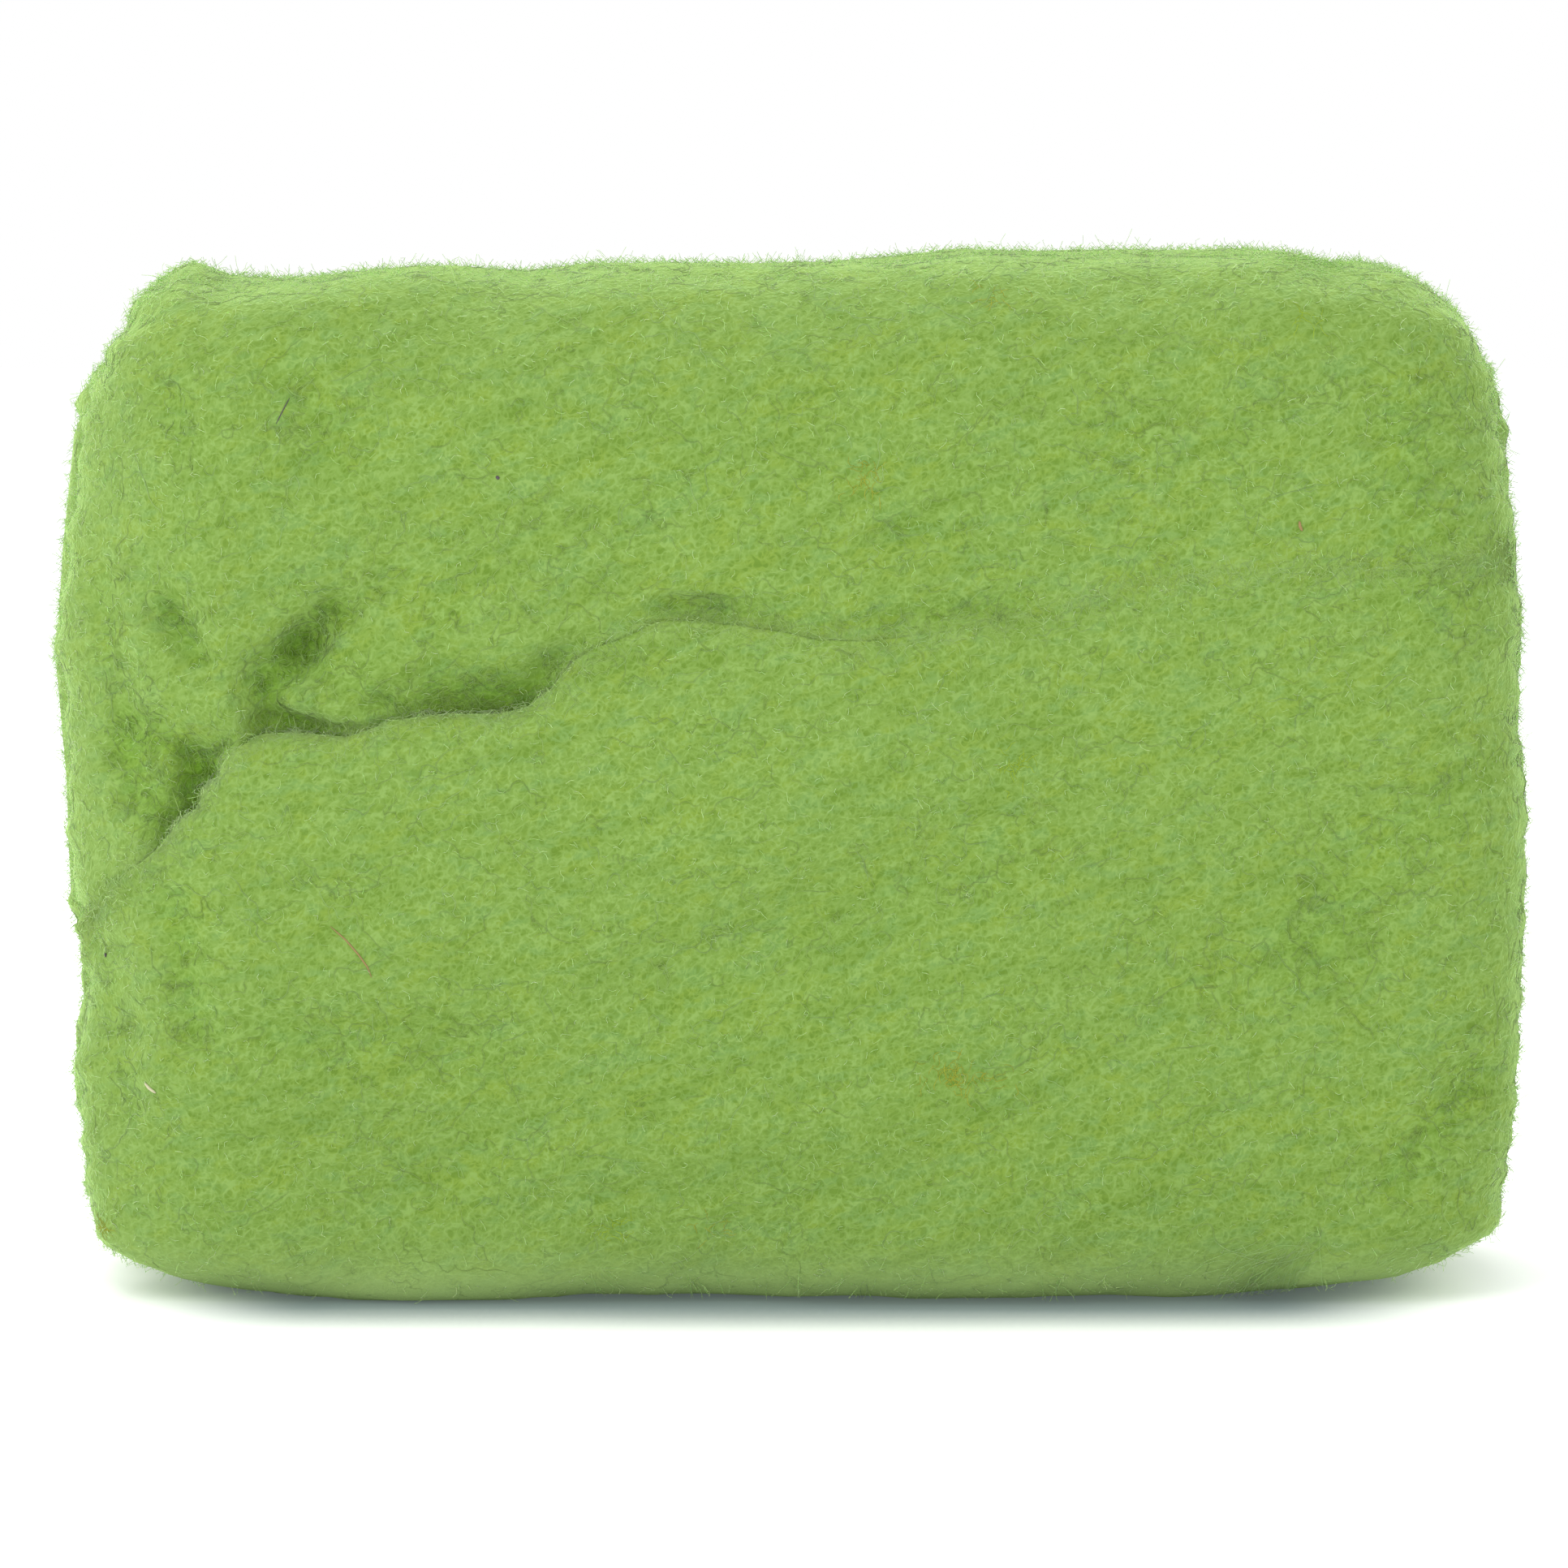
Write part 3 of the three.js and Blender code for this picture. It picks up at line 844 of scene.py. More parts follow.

# %% [markdown]
# ## Curly fibres
#
# Single fibres make the surface read as wool from close by. Geometry Nodes scatter their roots on the
# skin and give each a line. The line's heading wanders like crimp: a smooth noise turns it left and
# right while it goes, and adding up its steps gives the path. Then every point is dropped back onto the
# skin, a little above or below it, so that a fibre follows folds and hollows and dives in and out of the
# wool. A triangle swept along the path is the cheapest closed fibre. Each fibre has a cell of its own
# in a flat map.
#
# First the skin gets a few numbers for each point: how densely each kind of fibre roots there, which way
# fibres lie, where the wool is hollow and gets painted shade, and where painted light makes it paler.
# Where the seam is closed, and low on the front, a last one turns the shading to the front, so that a
# layer's thin edge doesn't show as a dark line.

# %% Which way the skin faces
def near_zero(value, width):
    """1 where a value is zero, and less and less beyond its width."""
    return np.exp(-(value / width) ** 2)


normals = np.zeros(len(skin_points) * 3, np.float32)
skin.data.vertex_normals.foreach_get("vector", normals)
normals = normals.reshape(-1, 3)
at_x, at_y, at_z = skin_points.T
facing_front = smooth((-normals[:, 1] + 0.1) / 0.6)
facing_back = smooth((normals[:, 1] - 0.2) / 0.5)
facing_up = smooth(normals[:, 2] / 0.5)
at_ends = smooth((np.abs(normals[:, 0]) - 0.25) / 0.5)
left_end = smooth((-at_x - 100) / 26)
front = smooth((-at_y - 18) / 6)
low_down = near_zero(at_z, 8)
print(int((facing_front > 0.5).sum()), "points of the skin face the front")

# %% Where fibres root, and how they lie
above_floor = smooth((at_z - 0.6) / 2)
not_under = smooth((normals[:, 2] + 1.02) / 0.3)
shown = smooth(skin_shown / 0.5) * above_floor * not_under
cover = 0.8 * facing_front + 0.75 * facing_up + 0.8 * at_ends + 0.42 * facing_back
cover = shown * np.clip(cover, 0, 1)
rim = shown * np.clip(0.12 + 1.2 * near_zero(normals[:, 1], 0.45), 0, 1.3)
edges = near_zero(normals[:, 1], 0.5) * (0.5 + 0.6 * at_ends + 0.6 * left_end)
down = shown * np.clip(edges + 0.25 * left_end * facing_front + 0.05, 0, 1.5)
slopes = lay_slope(at_x, at_z)
lay = np.stack([np.cos(slopes), np.zeros_like(slopes), np.sin(slopes)], 1)
print("fibres can root on", int((cover > 0.1).sum()), "of", len(cover), "points")

# %% The seam, the hollows beside it with their painted shade, and the painted light
above_seam = at_z - (look_up(SEAM, at_x) + FRONT_RISE)
seam_depths = look_up(SEAM, at_x, 2)
sunk_in = smooth((seam_depths - 0.3) / 1.6)
lip = near_zero(above_seam + 0.2, 1.7) * np.clip(0.7 + seam_depths / 9, 0, 1)
lip = lip * shown * front * smooth((-normals[:, 1] + 0.2) / 0.6)
creased = crease_depth(at_x, at_z) * front
# How much painted shade darkens the wool: deep in the seam's pockets and in the creases
hollow = smooth((skin_hollow - 0.3) / 8) * shown * sunk_in + 0.75 * smooth(creased / 6) * shown
closed = near_zero(above_seam, 3.5) * (1 - sunk_in) * front
closed = np.clip(closed + 0.85 * low_down * facing_front, 0, 1)
even = normals * (1 - 0.8 * closed[:, None]) + np.array([0, -0.8, 0]) * closed[:, None]
even /= np.maximum(np.linalg.norm(even, axis=1, keepdims=True), 1e-6)
# Painted light: how much paler the bottom, the rims and a little of the left end are painted
pale = low_down + 0.17 * edges + 0.08 * left_end * facing_front
print("the seam is closed at", int((closed > 0.5).sum()), "points")


# %% Keep it all on the skin
def store(piece, name, values):
    """Keeps one number for each point, or one vector where each point has three numbers."""
    vectors = values.ndim == 2
    layer = piece.data.attributes.new(name, "FLOAT_VECTOR" if vectors else "FLOAT", "POINT")
    layer.data.foreach_set("vector" if vectors else "value", values.astype(np.float32).ravel())


TOLD = {
    "shown": skin_shown,
    "ends": 0.8 * smooth((np.abs(normals[:, 0]) - 0.7) / 0.25),
    "pale": np.clip(pale, 0, 1),
    "even": even,
    "down": down,
    "hollow": hollow,
    "lip": lip,
    "lay": lay,
    "cover": cover,
    "rim": rim,
}
for told, values in TOLD.items():
    store(skin, told, values)
print("the skin keeps", ", ".join(TOLD))


# %% A tree that grows fibres
CRIMP_RATE = 220.0  # how fast a fibre's heading wanders along its length
WAVER_RATE = 300.0  # how fast its height over the skin does
JUST_OFF_FLOOR = 0.0002


def group_input(tree, name, kind, default=None):
    socket = tree.interface.new_socket(name, in_out="INPUT", socket_type=kind)
    if default is not None:
        socket.default_value = default
    return socket


def fibre_tree(name, where):
    """Fibres rooted on a mesh, as densely as its attribute named in where says."""
    tree = bpy.data.node_groups.new(name, "GeometryNodeTree")
    group_input(tree, "Skin", "NodeSocketGeometry")
    group_input(tree, "Density", "NodeSocketFloat", 20000.0)
    group_input(tree, "Steps", "NodeSocketInt", 10)
    group_input(tree, "Step", "NodeSocketFloat", 0.001)
    group_input(tree, "Thickness", "NodeSocketFloat", 0.00012)
    group_input(tree, "Spread", "NodeSocketFloat", 0.9)
    group_input(tree, "Crimp", "NodeSocketFloat", 6.0)
    group_input(tree, "Lift", "NodeSocketFloat", 0.0002)
    group_input(tree, "Loft", "NodeSocketFloat", 0.0004)
    group_input(tree, "Free", "NodeSocketFloat", 0.0)
    group_input(tree, "Hug", "NodeSocketFloat", 1.0)
    group_input(tree, "Seed", "NodeSocketInt", 1)
    group_input(tree, "Finish", "NodeSocketMaterial")
    tree.interface.new_socket("Fibres", in_out="OUTPUT", socket_type="NodeSocketGeometry")
    graph = Graph(tree)
    node_in = tree.nodes.new("NodeGroupInput")
    given = {s.name: Wire(graph, s) for s in node_in.outputs if s.name}

    def read(attribute, kind="FLOAT"):
        return graph.make("GeometryNodeInputNamedAttribute", {"data_type": kind}, {"Name": attribute})

    def write(geometry, attribute, value, kind="FLOAT", domain="POINT"):
        return graph.make(
            "GeometryNodeStoreNamedAttribute", {"data_type": kind, "domain": domain},
            {"Geometry": geometry, "Name": attribute, "Value": value},
        )

    def chance(low_value, high_value, salt):
        return graph.make(
            "FunctionNodeRandomValue", {"data_type": "FLOAT"},
            {"Min": low_value, "Max": high_value, "Seed": given["Seed"] * 10 + salt},
        )

    # Only the outside carries fibres, not the hidden side that lies close under it
    outside = graph.make(
        "GeometryNodeDeleteGeometry", {"domain": "POINT"},
        {"Geometry": given["Skin"], "Selection": graph.maths("LESS_THAN", read("shown"), 0.2)},
    )

    # Roots
    scatter = tree.nodes.new("GeometryNodeDistributePointsOnFaces")
    graph.feed(Graph.pick(scatter.inputs, "Mesh"), outside)
    graph.feed(Graph.pick(scatter.inputs, "Density"), given["Density"] * read(where))
    graph.feed(Graph.pick(scatter.inputs, "Seed"), given["Seed"])
    roots = Wire(graph, scatter.outputs["Points"])
    out = Wire(graph, scatter.outputs["Normal"])
    grain = read("lay", "FLOAT_VECTOR")
    side = graph.maths("NORMALIZE", graph.maths("CROSS_PRODUCT", out, grain))
    ahead = graph.maths("CROSS_PRODUCT", side, out)
    roots = write(roots, "side", side, "FLOAT_VECTOR")
    roots = write(roots, "ahead", ahead, "FLOAT_VECTOR")
    roots = write(roots, "number", chance(0.0, 1000.0, 1))
    roots = write(roots, "tint", chance(0.0, 1.0, 2))
    roots = write(roots, "reach", chance(0.3, 1.0, 5) * chance(0.4, 1.0, 6))
    roots = write(roots, "heading", (chance(-1.0, 1.0, 3) + chance(-1.0, 1.0, 4)) * given["Spread"])

    # One line for each root
    line = graph.make("GeometryNodeCurvePrimitiveLine")
    line = graph.make("GeometryNodeResampleCurve", None, {"Curve": line, "Count": given["Steps"]})
    lines = graph.make("GeometryNodeInstanceOnPoints", None, {"Points": roots, "Instance": line})
    lines = graph.make("GeometryNodeRealizeInstances", None, {"Geometry": lines})

    # Its path over the skin
    along = graph.make("GeometryNodeSplineParameter", output="Factor")
    count = graph.make("GeometryNodeSplineParameter", output="Index")
    curve_number = graph.make("GeometryNodeCurveOfPoint", output="Curve Index")
    number = read("number")
    drift = graph.make(
        "ShaderNodeTexNoise", {"noise_dimensions": "1D"},
        {"W": number + count * given["Step"] * CRIMP_RATE, "Scale": 1.0, "Detail": 1.0},
    )
    turn = read("heading") + (drift - 0.5) * given["Crimp"]
    step = read("ahead", "FLOAT_VECTOR") * turn.cosine() + read("side", "FLOAT_VECTOR") * turn.sine()
    walked = graph.make(
        "GeometryNodeAccumulateField", {"data_type": "FLOAT_VECTOR"},
        {"Value": step * given["Step"], "Group ID": curve_number}, output="Trailing",
    )
    start = graph.make("GeometryNodeInputPosition")
    root_place = graph.make(
        "GeometryNodeSampleIndex", {"data_type": "FLOAT_VECTOR", "domain": "POINT"},
        {"Geometry": lines, "Value": start, "Index": curve_number * given["Steps"]},
    )
    loose = root_place + walked
    on_skin = graph.make(
        "GeometryNodeProximity", {"target_element": "FACES"},
        {0: outside, "Sample Position": loose}, output="Position",
    )
    skin_normal = graph.make(
        "GeometryNodeSampleNearestSurface", {"data_type": "FLOAT_VECTOR"},
        {"Mesh": outside, "Value": graph.make("GeometryNodeInputNormal"), "Sample Position": loose},
    )
    even_normal = graph.make(
        "GeometryNodeSampleNearestSurface", {"data_type": "FLOAT_VECTOR"},
        {"Mesh": outside, "Value": read("even", "FLOAT_VECTOR"), "Sample Position": loose},
    )
    waver = graph.make(
        "ShaderNodeTexNoise", {"noise_dimensions": "1D"},
        {"W": number * 3.0 + count * given["Step"] * WAVER_RATE, "Scale": 1.0, "Detail": 0.0},
    )
    arch = (along * math.pi).sine()
    free = given["Free"]
    stand = arch * (1 - free) + along * free
    rise = given["Lift"] * (stand * 2.0 - 1.0) + given["Loft"] * read("reach") * stand * waver * 2.0
    path = loose + (on_skin - loose) * given["Hug"] + skin_normal * rise
    path = graph.maths("MAXIMUM", path, (-10.0, -10.0, JUST_OFF_FLOOR))
    placed = graph.make("GeometryNodeSetPosition", None, {"Geometry": lines, "Position": path})

    # A free fibre thins out towards its tip, and a lying one at both ends
    taper = 0.3 + 0.7 * (stand * (2.0 - free * 1.6) + free * 0.2).fade(1.0, 0.0) * free
    taper = taper + 0.7 * (arch * 1.8).fade(0.0, 1.0) * (1 - free)
    radius = taper * (0.7 + read("tint") * 0.6)
    placed = graph.make("GeometryNodeSetCurveRadius", None, {"Curve": placed, "Radius": radius})
    placed = write(placed, "run", along)
    placed = write(placed, "up", even_normal, "FLOAT_VECTOR")
    placed = write(placed, "cell", curve_number)

    # A triangle swept along it
    ring = graph.make(
        "GeometryNodeCurvePrimitiveCircle", None, {"Resolution": 3, "Radius": given["Thickness"]}
    )
    ring = write(ring, "round", graph.make("GeometryNodeSplineParameter", output="Factor"))
    fibres = graph.make(
        "GeometryNodeCurveToMesh", None, {"Curve": placed, "Profile Curve": ring, "Fill Caps": True}
    )

    # Each fibre has a cell of its own in the flat map
    cell = read("cell")
    count_roots = graph.make(
        "GeometryNodeAttributeDomainSize", {"component": "POINTCLOUD"}, {"Geometry": roots},
        output="Point Count",
    )
    cells = graph.maths("CEIL", graph.maths("SQRT", count_roots))
    column = graph.maths("FLOORED_MODULO", cell, cells)
    row = graph.maths("FLOOR", cell / cells)
    across = (column + 0.1 + read("run") * 0.8) / cells
    upward = (row + 0.15 + read("round")) / cells
    flat = graph.make("ShaderNodeCombineXYZ", None, {"X": across, "Y": upward})
    fibres = write(fibres, "OFBake", flat, "FLOAT2", "CORNER")
    fibres = graph.make("GeometryNodeRealizeInstances", None, {"Geometry": fibres})
    fibres = graph.make(
        "GeometryNodeSetMaterial", None, {"Geometry": fibres, "Material": given["Finish"]}
    )
    node_out = tree.nodes.new("NodeGroupOutput")
    graph.feed(node_out.inputs[0], fibres)
    return tree


# %% Finish of the fibres
def fibre_wool(name, stops, drift_share, more):
    material, graph = new_material(name)
    place = millimetres(graph)
    own = graph.make("ShaderNodeValToRGB", {"stops": stops}, {"Fac": attribute(graph, "tint")})
    green = graph.blend(drift_share, own, drifting_green(graph, place))
    # Painted light at the bottom, along the rims and a little on the left end
    green = graph.blend(attribute(graph, "pale") * 0.7, green, PAINTED_LIGHT_GREEN)
    # Painted shade in the pockets and creases
    green = graph.blend(attribute(graph, "hollow") * 0.5, green, POCKET_SHADE, "MULTIPLY")
    finish_with(graph, {
        "Base Color": green,
        "Roughness": 0.8,
        "Sheen Weight": 0.2,
        "Specular IOR Level": 0.2,
        **more(graph),
    })
    return material


def lying(graph):
    """A lying fibre is shaded mostly like the wool under it."""
    own = graph.make("ShaderNodeNewGeometry", output="Normal")
    under = graph.make("ShaderNodeAttribute", {"attribute_name": "up"}, output="Vector")
    return {"Normal": graph.maths("NORMALIZE", under * 0.7 + own * 0.3)}


def see_through(graph):
    """A fibre that stands alone lets the light behind it through."""
    return {
        "Subsurface Weight": 1.0,
        "Subsurface Radius": (0.00012, 0.00020, 0.00007),
        "Subsurface Scale": 1.0,
    }


FIBRE_STOPS = [
    (0.0, srgb(154, 190, 92)), (0.3, srgb(162, 198, 102)), (0.6, srgb(168, 204, 110)),
    (0.85, srgb(166, 206, 126)), (1.0, srgb(180, 214, 138)),
]
FUZZ_STOPS = [(0.0, srgb(170, 208, 120)), (0.6, srgb(184, 218, 140)), (1.0, srgb(204, 230, 168))]
wool_fibre = fibre_wool("wool_fibres", FIBRE_STOPS, 0.45, lying)
wool_fuzz = fibre_wool("wool_fuzz", FUZZ_STOPS, 0.15, see_through)
print("two more finishes:", wool_fibre.name, "and", wool_fuzz.name)


# %% Grow the fibres
def grow(name, where, values, finish):
    """A plain mesh of the fibres that the tree grows on the skin."""
    tree = fibre_tree(name + "_tree", where)
    holder = bpy.data.objects.new(name + "_holder", skin.data)
    bpy.context.scene.collection.objects.link(holder)
    modifier = holder.modifiers.new(name, "NODES")
    modifier.node_group = tree
    for item in tree.interface.items_tree:
        if item.in_out == "INPUT" and item.name in values:
            modifier[item.identifier] = values[item.name]
        if item.in_out == "INPUT" and item.name == "Finish":
            modifier[item.identifier] = finish
    bpy.context.view_layer.update()
    ready = holder.evaluated_get(bpy.context.evaluated_depsgraph_get())
    mesh = bpy.data.meshes.new_from_object(ready)
    mesh.name = name
    holder.modifiers.remove(modifier)
    bpy.data.objects.remove(holder)
    piece = bpy.data.objects.new(name, mesh)
    bpy.context.scene.collection.objects.link(piece)
    mesh.shade_smooth()
    triangles = sum(len(p.vertices) - 2 for p in mesh.polygons)
    print(name, "has", triangles, "triangles")
    return piece


FIBRES = [  # name, where it grows, finish, the tree's inputs
    ("short_fibres", "cover", wool_fibre, {
        "Density": 36500.0, "Steps": 9, "Step": 0.0010, "Thickness": 0.00008, "Spread": 1.1,
        "Crimp": 10.0, "Lift": 0.00002, "Loft": 0.00006, "Seed": 1}),
    ("strands", "cover", wool_fibre, {
        "Density": 4500.0, "Steps": 17, "Step": 0.0011, "Thickness": 0.00008, "Spread": 0.8,
        "Crimp": 5.5, "Lift": 0.00003, "Loft": 0.00006, "Seed": 7}),
    ("lip_fibres", "lip", wool_fibre, {
        "Density": 1900000.0, "Steps": 6, "Step": 0.0010, "Thickness": 0.00007, "Spread": 3.1,
        "Crimp": 9.0, "Lift": 0.00004, "Loft": 0.0005, "Hug": 0.4, "Seed": 6}),
    ("pocket_fibres", "hollow", wool_fibre, {
        "Density": 600000.0, "Steps": 8, "Step": 0.0010, "Thickness": 0.00007, "Spread": 1.8,
        "Crimp": 9.0, "Lift": 0.00004, "Loft": 0.0012, "Hug": 0.7, "Seed": 8}),
    ("down", "down", wool_fuzz, {
        "Density": 440000.0, "Steps": 3, "Step": 0.0008, "Thickness": 0.00005, "Spread": 3.1,
        "Crimp": 12.0, "Lift": 0.0001, "Loft": 0.0014, "Free": 1.0, "Hug": 0.0, "Seed": 2}),
    ("halo", "rim", wool_fuzz, {
        "Density": 200000.0, "Steps": 3, "Step": 0.0007, "Thickness": 0.00005, "Spread": 3.1,
        "Crimp": 12.0, "Lift": 0.0001, "Loft": 0.0012, "Free": 1.0, "Hug": 0.0, "Seed": 3}),
    ("fuzz", "rim", wool_fuzz, {
        "Density": 140000.0, "Steps": 4, "Step": 0.0008, "Thickness": 0.00004, "Spread": 3.0,
        "Crimp": 10.0, "Lift": 0.0001, "Loft": 0.0022, "Free": 1.0, "Hug": 0.0, "Seed": 4}),
]
fibre_pieces = [grow(name, where, values, finish) for name, where, finish, values in FIBRES]
short_fibres, strands, lip_fibres = fibre_pieces[:3]
for piece in (short_fibres, strands, lip_fibres):
    piece.visible_shadow = False  # they lie in the wool, which has no room for a shadow of their own
lip_fibres.visible_diffuse = False  # the light between the layers would see them as a dark band

# %% [markdown]
# ## Neps, bits and loose locks
#
# Carding leaves neps, which are small knots of fibres in another colour. Bits of straw stay in the wool,
# and stray hairs and locks hang out of it. They are few and each has its own place, so plain Python
# makes them: a ray finds the skin at the place, and short closed tubes are bent along it.

# %% Tubes on the skin
skin_tree = BVHTree.FromPolygons([Vector(p * MM) for p in skin_points], skin_faces)
chance_of_bits = np.random.default_rng(11)
FRONT_START, TOP_START = -300, 400  # y and z from which the rays set out
OFF_FLOOR = 0.15


def touch(x, z, from_above=False):
    """The place on the skin (in mm) seen from the front, or from above where z is a depth."""
    start = Vector((x, z, TOP_START)) if from_above else Vector((x, FRONT_START, z))
    way = Vector((0, 0, -1)) if from_above else Vector((0, 1, 0))
    place, normal = skin_tree.ray_cast(start * MM, way)[:2]
    return (None, None) if place is None else (np.array(place) / MM, np.array(normal))


def tube(path, radius, sides=3):
    """Points and faces of a closed tube that thins out at both ends."""
    path = np.array(path, float)
    ahead = np.gradient(path, axis=0)
    ahead /= np.maximum(np.linalg.norm(ahead, axis=1, keepdims=True), 1e-9)
    aside = np.cross(ahead, (0.31, -0.83, 0.47))
    aside /= np.linalg.norm(aside, axis=1, keepdims=True)
    across = np.cross(ahead, aside)
    along = np.linspace(0, 1, len(path))
    thick = radius * (0.35 + 0.65 * np.sin(along * math.pi) ** 0.5)
    points = []
    for k in range(sides):
        turn = 2 * math.pi * k / sides
        points.append(path + thick[:, None] * (math.cos(turn) * aside + math.sin(turn) * across))
    points = np.stack(points, 1).reshape(-1, 3)
    faces = []
    for i in range(len(path) - 1):
        for k in range(sides):
            a, b = i * sides + k, i * sides + (k + 1) % sides
            faces.append((a, b, b + sides, a + sides))
    faces.append(tuple(range(sides))[::-1])
    faces.append(tuple(len(points) - sides + k for k in range(sides)))
    return points, faces


def joined(name, tubes, finish, dyes=None):
    """One piece of many tubes, each with its own dye where dyes are given."""
    points, faces, colours = [], [], []
    for i, (own_points, own_faces) in enumerate(tubes):
        faces += [tuple(len(points) + v for v in face) for face in own_faces]
        points += list(own_points)
        if dyes:
            colours += [dyes[i]] * len(own_points)
    points = np.array(points)
    points[:, 2] = np.maximum(points[:, 2], OFF_FLOOR)
    piece = plain_mesh(name, points, faces)
    piece.data.materials.append(finish)
    piece.data.shade_smooth()
    if dyes:
        dye = piece.data.attributes.new("dye", "FLOAT_COLOR", "POINT")
        dye.data.foreach_set("color", np.array(colours, np.float32).ravel())
    print(name, "has", sum(len(f) - 2 for f in faces), "triangles")
    return piece


# %% Neps and bits
OCHRE = srgb(178, 190, 66)
LEMON = srgb(172, 205, 60)
STRAW = srgb(235, 232, 190)
PLUM = srgb(105, 95, 100)
BROWN = srgb(178, 150, 100)
NEPS = [  # dye, x, z, how far it spreads in x and z, number of fibres
    (OCHRE, 12.8, 145.2, 1.5, 1.7, 26), (OCHRE, 28, 39.1, 2.6, 1.9, 46),
    (OCHRE, 34.5, 38, 3.4, 1, 20), (LEMON, 40.3, 94.5, 1.4, 1.3, 24),
    (LEMON, -31.3, 10.8, 1.8, 0.8, 18), (OCHRE, -13.6, 11, 1.8, 0.8, 10),
    (LEMON, 91.3, 173, 1.8, 0.7, 14), (OCHRE, 36.4, 177, 2.2, 0.8, 12),
    (OCHRE, -124, 9.5, 0.7, 0.7, 16),
]
NEP_PLACES = 7  # along each of its fibres
NEP_STEP = 0.45
NEP_THICKNESS = 0.075
BIT_PLACES = 9
BITS = [  # dye, thickness, places (x, z) along it
    (STRAW, 0.3, [(-115.4, 37.1), (-114.6, 36.2), (-113.4, 35.4)]),
    (PLUM, 0.35, [(-52, 145.7), (-51.7, 145.4), (-51.5, 145.2)]),
    (BROWN, 0.3, [(89.4, 137.9), (89.5, 137), (89.9, 136.2)]),
    (PLUM, 0.3, [(-123.2, 59), (-123.1, 58.8), (-123, 58.5)]),
    (BROWN, 0.17, [(-81.8, 65.8), (-79, 63.4), (-76.8, 60.9), (-75.2, 58.7), (-74.5, 56.8)]),
    (PLUM, 0.1, [(-88.4, 159.4), (-89.6, 157.1), (-90.7, 154.9)]),
]


def nep_tubes():
    tubes, dyes = [], []
    for dye, x, z, spread_x, spread_z, count in NEPS:
        for _ in range(count):
            off = chance_of_bits.normal(size=2) * (spread_x, spread_z)
            spot = np.array([x, z + FRONT_RISE]) + off
            heading = chance_of_bits.uniform(0, 2 * math.pi)
            path = []
            for _ in range(NEP_PLACES):
                place, normal = touch(*spot)
                if place is None:
                    break
                path.append(place + normal * 0.04)
                heading += chance_of_bits.normal() * 0.6
                spot = spot + NEP_STEP * np.array([math.cos(heading), math.sin(heading)])
            if len(path) == NEP_PLACES:
                tubes.append(tube(path, NEP_THICKNESS))
                dyes.append(dye)
    return tubes, dyes


def bit_tubes():
    tubes, dyes = [], []
    for dye, thickness, places in BITS:
        at = np.linspace(0, len(places) - 1, BIT_PLACES)
        x, z = (np.interp(at, range(len(places)), [p[i] for p in places]) for i in (0, 1))
        found = [touch(*spot) for spot in zip(x, z + FRONT_RISE)]
        path = [place + normal * thickness * 0.4 for place, normal in found if place is not None]
        if len(path) > 2:
            tubes.append(tube(path, thickness, 6))
            dyes.append(dye)
    return tubes, dyes


nep_finish, nep_graph = new_material("neps_and_bits")
finish_with(nep_graph, {
    "Base Color": nep_graph.make("ShaderNodeAttribute", {"attribute_name": "dye"}, output="Color"),
    "Roughness": 0.85, "Specular IOR Level": 0.2,
})
knots, knot_dyes = nep_tubes()
straws, straw_dyes = bit_tubes()
neps = joined("neps", knots, nep_finish, knot_dyes)
bits = joined("bits", straws, nep_finish, straw_dyes)
neps.visible_shadow = False

# %% Loose locks
LOCKS = [  # x, z (or y from above), from above, heading, its spread, number, length, how far it lifts
    (92, 8, False, -2.35, 0.25, 34, 13, 1.2),
    (84, 4, False, -2.6, 0.35, 16, 9, 1.5),
    (-17, 1.5, False, -1.5, 0.6, 7, 4, 1.6), (0, 1.2, False, -1.2, 0.7, 5, 3.5, 1.5),
    (10, 1.5, False, -2.2, 0.5, 8, 4.5, 1.6), (24, 1.2, False, -2.6, 0.5, 6, 4, 1.6),
    (46, 1.5, False, -1.2, 0.5, 7, 4.5, 1.6), (-36, 1.5, False, -0.8, 0.5, 5, 4, 1.4),
    (88, -16, True, 0.0, 0.4, 22, 9, 1.6), (93, -10, True, 0.1, 0.5, 16, 8, 1.6),
    (-112, -14, True, 2.9, 0.5, 14, 7, 1.4),
]
LOCK_PLACES = 10  # along each of its fibres
LOCK_THICKNESS = 0.055
LOCK_SPREAD = (2.6, 1.1)


def lock_tubes():
    tubes = []
    for x, z, above, heading, spread, count, length, lift in LOCKS:
        for _ in range(count):
            off = chance_of_bits.normal(size=2) * LOCK_SPREAD
            spot = np.array([x, z if above else z + FRONT_RISE]) + off
            turn = heading + spread * chance_of_bits.normal()
            path = []
            for step in range(LOCK_PLACES):
                place, normal = touch(*spot, above)
                if place is None and not path:
                    break
                if place is None:
                    place, normal = path[-1] + (path[-1] - path[-2]), np.zeros(3)
                bend = (step / (LOCK_PLACES - 1)) ** 2
                path.append(place + normal * lift * bend * chance_of_bits.uniform(0.7, 1.3))
                turn += chance_of_bits.normal() * 0.18
                spot = spot + length / (LOCK_PLACES - 1) * np.array([math.cos(turn), math.sin(turn)])
            if len(path) == LOCK_PLACES:
                tubes.append(tube(path, LOCK_THICKNESS))
    return tubes


locks = joined("loose_locks", lock_tubes(), wool_fuzz)
loose_pieces = [neps, bits, locks]
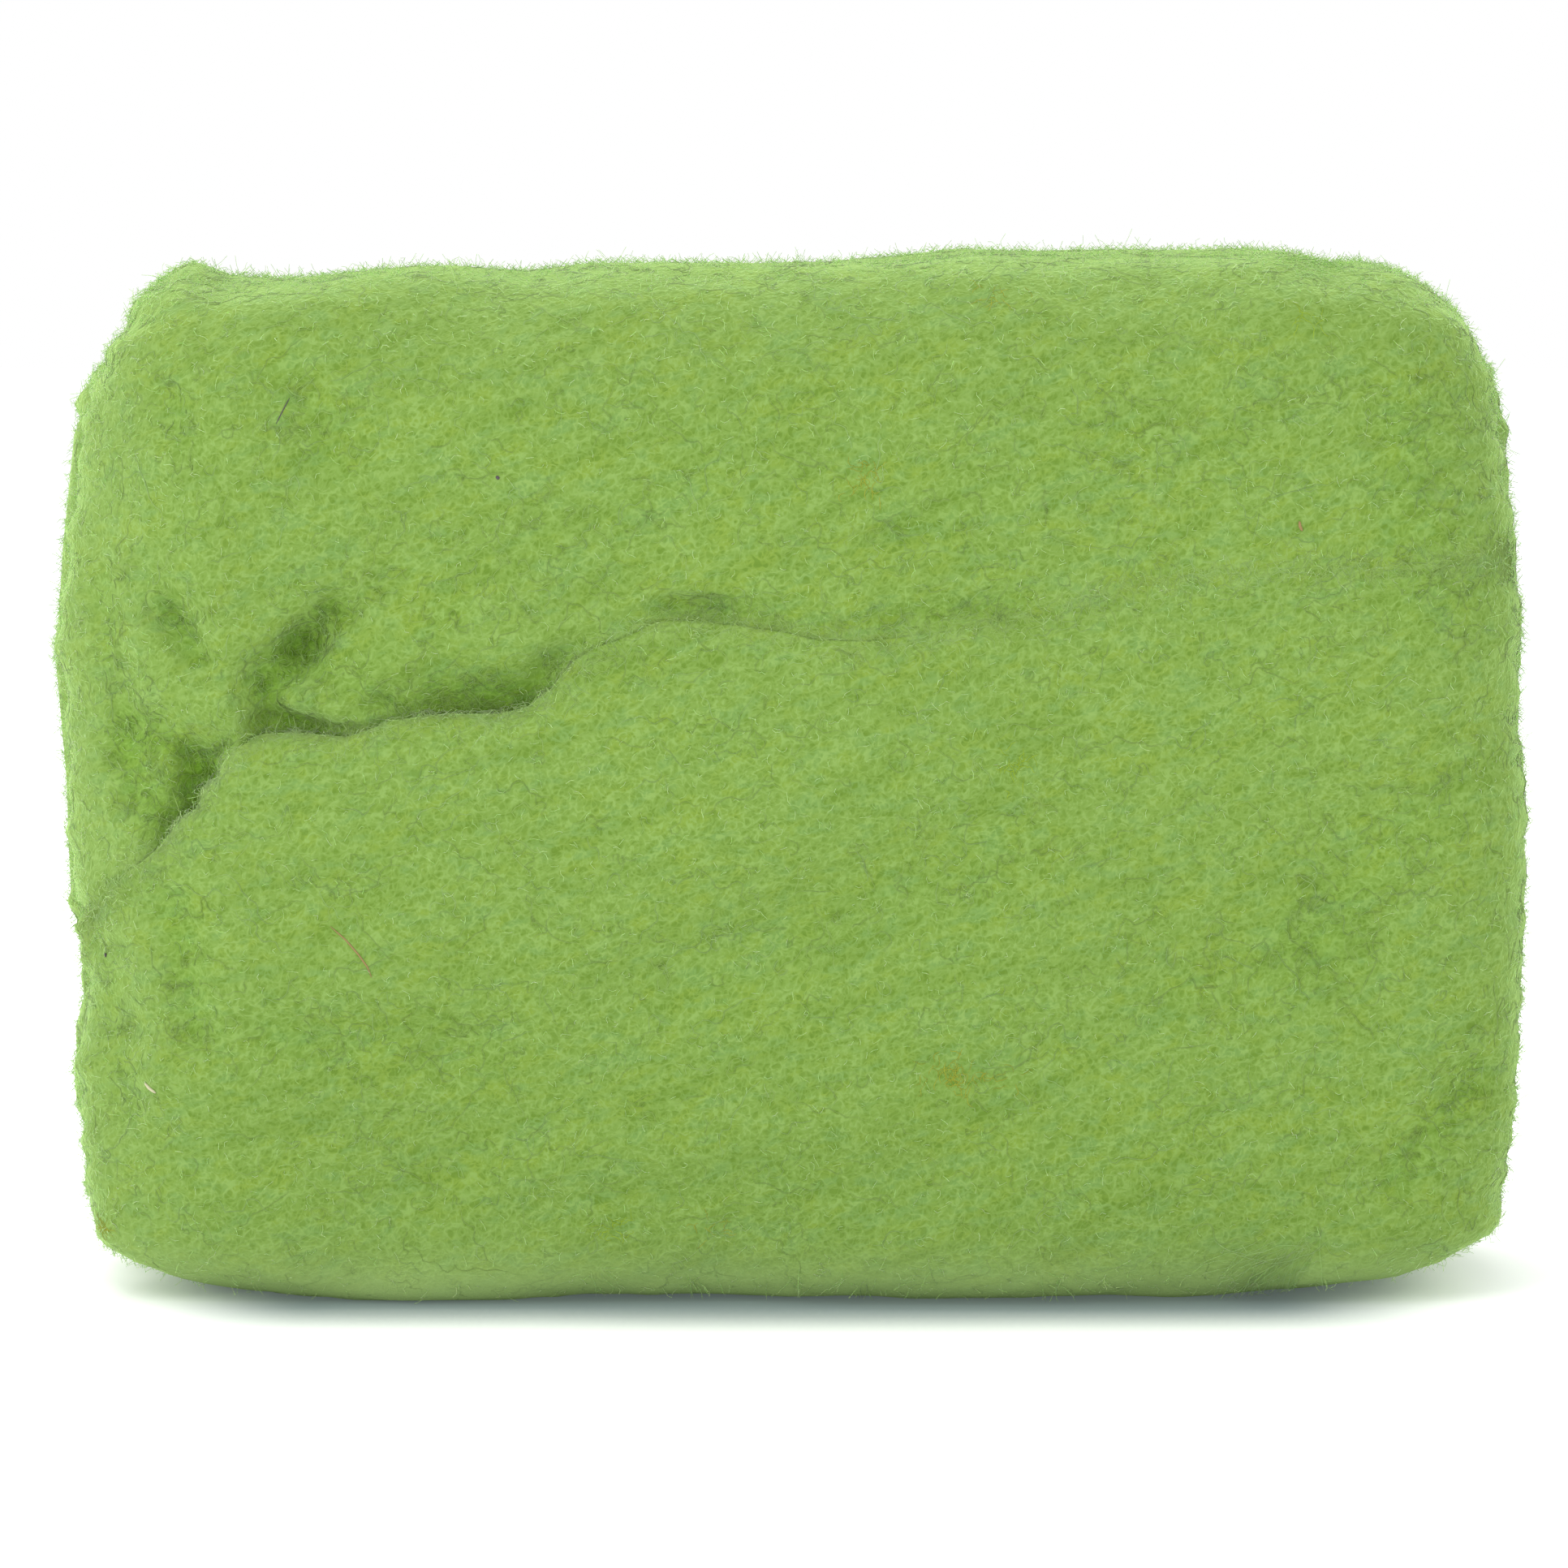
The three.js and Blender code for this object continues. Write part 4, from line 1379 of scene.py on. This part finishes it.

# %% [markdown]
# ## Floor, light and camera
#
# The batt stands on a plain white floor, in an even white surround. Five soft lights, from the upper left,
# the front, above and both sides, shade it as gently as a product picture. In so much light from all
# round, hardly any shadow would be left on the floor. So a shadow is painted into its colour: it turns
# grey where something stands close above it, which an ambient occlusion node tells. The floor also has a
# faint painted glow, kept low. The camera looks at the front almost level, from a little above.

# %% Floor
FLOOR_SIDE = 6.0
CONTACT_REACH = 0.036  # how far above the floor something may be to darken it
# Painted shadow: the grey the floor turns close under the batt
CONTACT_SHADOW_GREY = (0.16, 0.2, 0.2, 1)
WHITE = (1, 1, 1, 1)
SHADE_ENDS = (125, 85)  # the grey fades out between these distances (in mm) from the middle
floor_mesh = bpy.data.meshes.new("floor")
half = FLOOR_SIDE / 2
corners = [(-half, -half, 0), (half, -half, 0), (half, half, 0), (-half, half, 0)]
floor_mesh.from_pydata(corners, [], [(0, 1, 2, 3)])
floor = bpy.data.objects.new("floor", floor_mesh)
bpy.context.scene.collection.objects.link(floor)
floor_finish, floor_graph = new_material("pale_floor")
near = floor_graph.make(
    "ShaderNodeAmbientOcclusion", {"samples": 12}, {"Distance": CONTACT_REACH}, output="AO",
)
across = floor_graph.maths("DOT_PRODUCT", millimetres(floor_graph), (1, 0, 0))
# Painted shadow, strongest where the ambient occlusion finds the batt close above, fading out towards its
# ends
painted_contact_shadow = (1 - near.fade(0.42, 0.92)) * across.size().fade(*SHADE_ENDS)
finish_with(floor_graph, {
    "Base Color": floor_graph.blend(painted_contact_shadow, WHITE, CONTACT_SHADOW_GREY),
    # A faint painted glow, though the floor is no lamp, which lightens the shadow and the batt's underside
    "Emission Color": (0.7, 0.86, 0.82, 1.0), "Emission Strength": 0.1,
    "Roughness": 1.0, "Specular IOR Level": 0.0,
})
floor_mesh.materials.append(floor_finish)

# %% Light
world = bpy.data.worlds.new("studio")
bpy.context.scene.world = world
world.use_nodes = True
surround = world.node_tree.nodes["Background"]
surround.inputs["Color"].default_value = WHITE
surround.inputs["Strength"].default_value = 1.0


def soft_light(name, place, target, side, watts):
    data = bpy.data.lights.new(name, "AREA")
    data.shape = "SQUARE"
    data.size = side
    data.energy = watts
    light = bpy.data.objects.new(name, data)
    bpy.context.scene.collection.objects.link(light)
    light.location = place
    light.rotation_euler = (Vector(target) - Vector(place)).to_track_quat("-Z", "Y").to_euler()
    return light


soft_light("key_light", (-0.5, -0.62, 0.85), (0, 0, 0.1), 0.6, 4)
soft_light("front_light", (-0.1, -0.95, 0.13), (0, 0, 0.03), 0.25, 2.2)
soft_light("top_light", (-0.1, 0.3, 0.95), (0, 0, 0.1), 0.7, 5)
soft_light("right_light", (0.8, -0.45, 0.3), (0, 0, 0.08), 0.8, 3)
soft_light("left_light", (-0.85, -0.4, 0.18), (0, 0, 0.06), 0.6, 3)

# %% Camera
PIXEL = 0.1438  # millimetres of the front face for each pixel of the photograph
PHOTO_SIDE = 1932
CAMERA_DISTANCE = 1100
CAMERA_RISE = math.radians(7)
AIM = Vector((-0.0013, -HALF_DEPTH * MM, 0.0953))
SENSOR = 36

camera_data = bpy.data.cameras.new("camera")
camera_data.sensor_width = SENSOR
camera_data.lens = SENSOR * CAMERA_DISTANCE / (PHOTO_SIDE * PIXEL)
camera_data.clip_start = 0.01
camera = bpy.data.objects.new("camera", camera_data)
bpy.context.scene.collection.objects.link(camera)
back_off = Vector((0, -math.cos(CAMERA_RISE), math.sin(CAMERA_RISE))) * CAMERA_DISTANCE * MM
camera.location = AIM + back_off
camera.rotation_euler = (-back_off).to_track_quat("-Z", "Y").to_euler()
bpy.context.scene.camera = camera
bpy.context.scene.view_settings.view_transform = "Standard"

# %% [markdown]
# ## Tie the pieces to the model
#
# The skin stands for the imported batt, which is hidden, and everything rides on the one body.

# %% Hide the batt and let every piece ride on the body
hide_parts("batt")
for piece in [skin, *fibre_pieces, *loose_pieces]:
    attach(piece, "root")
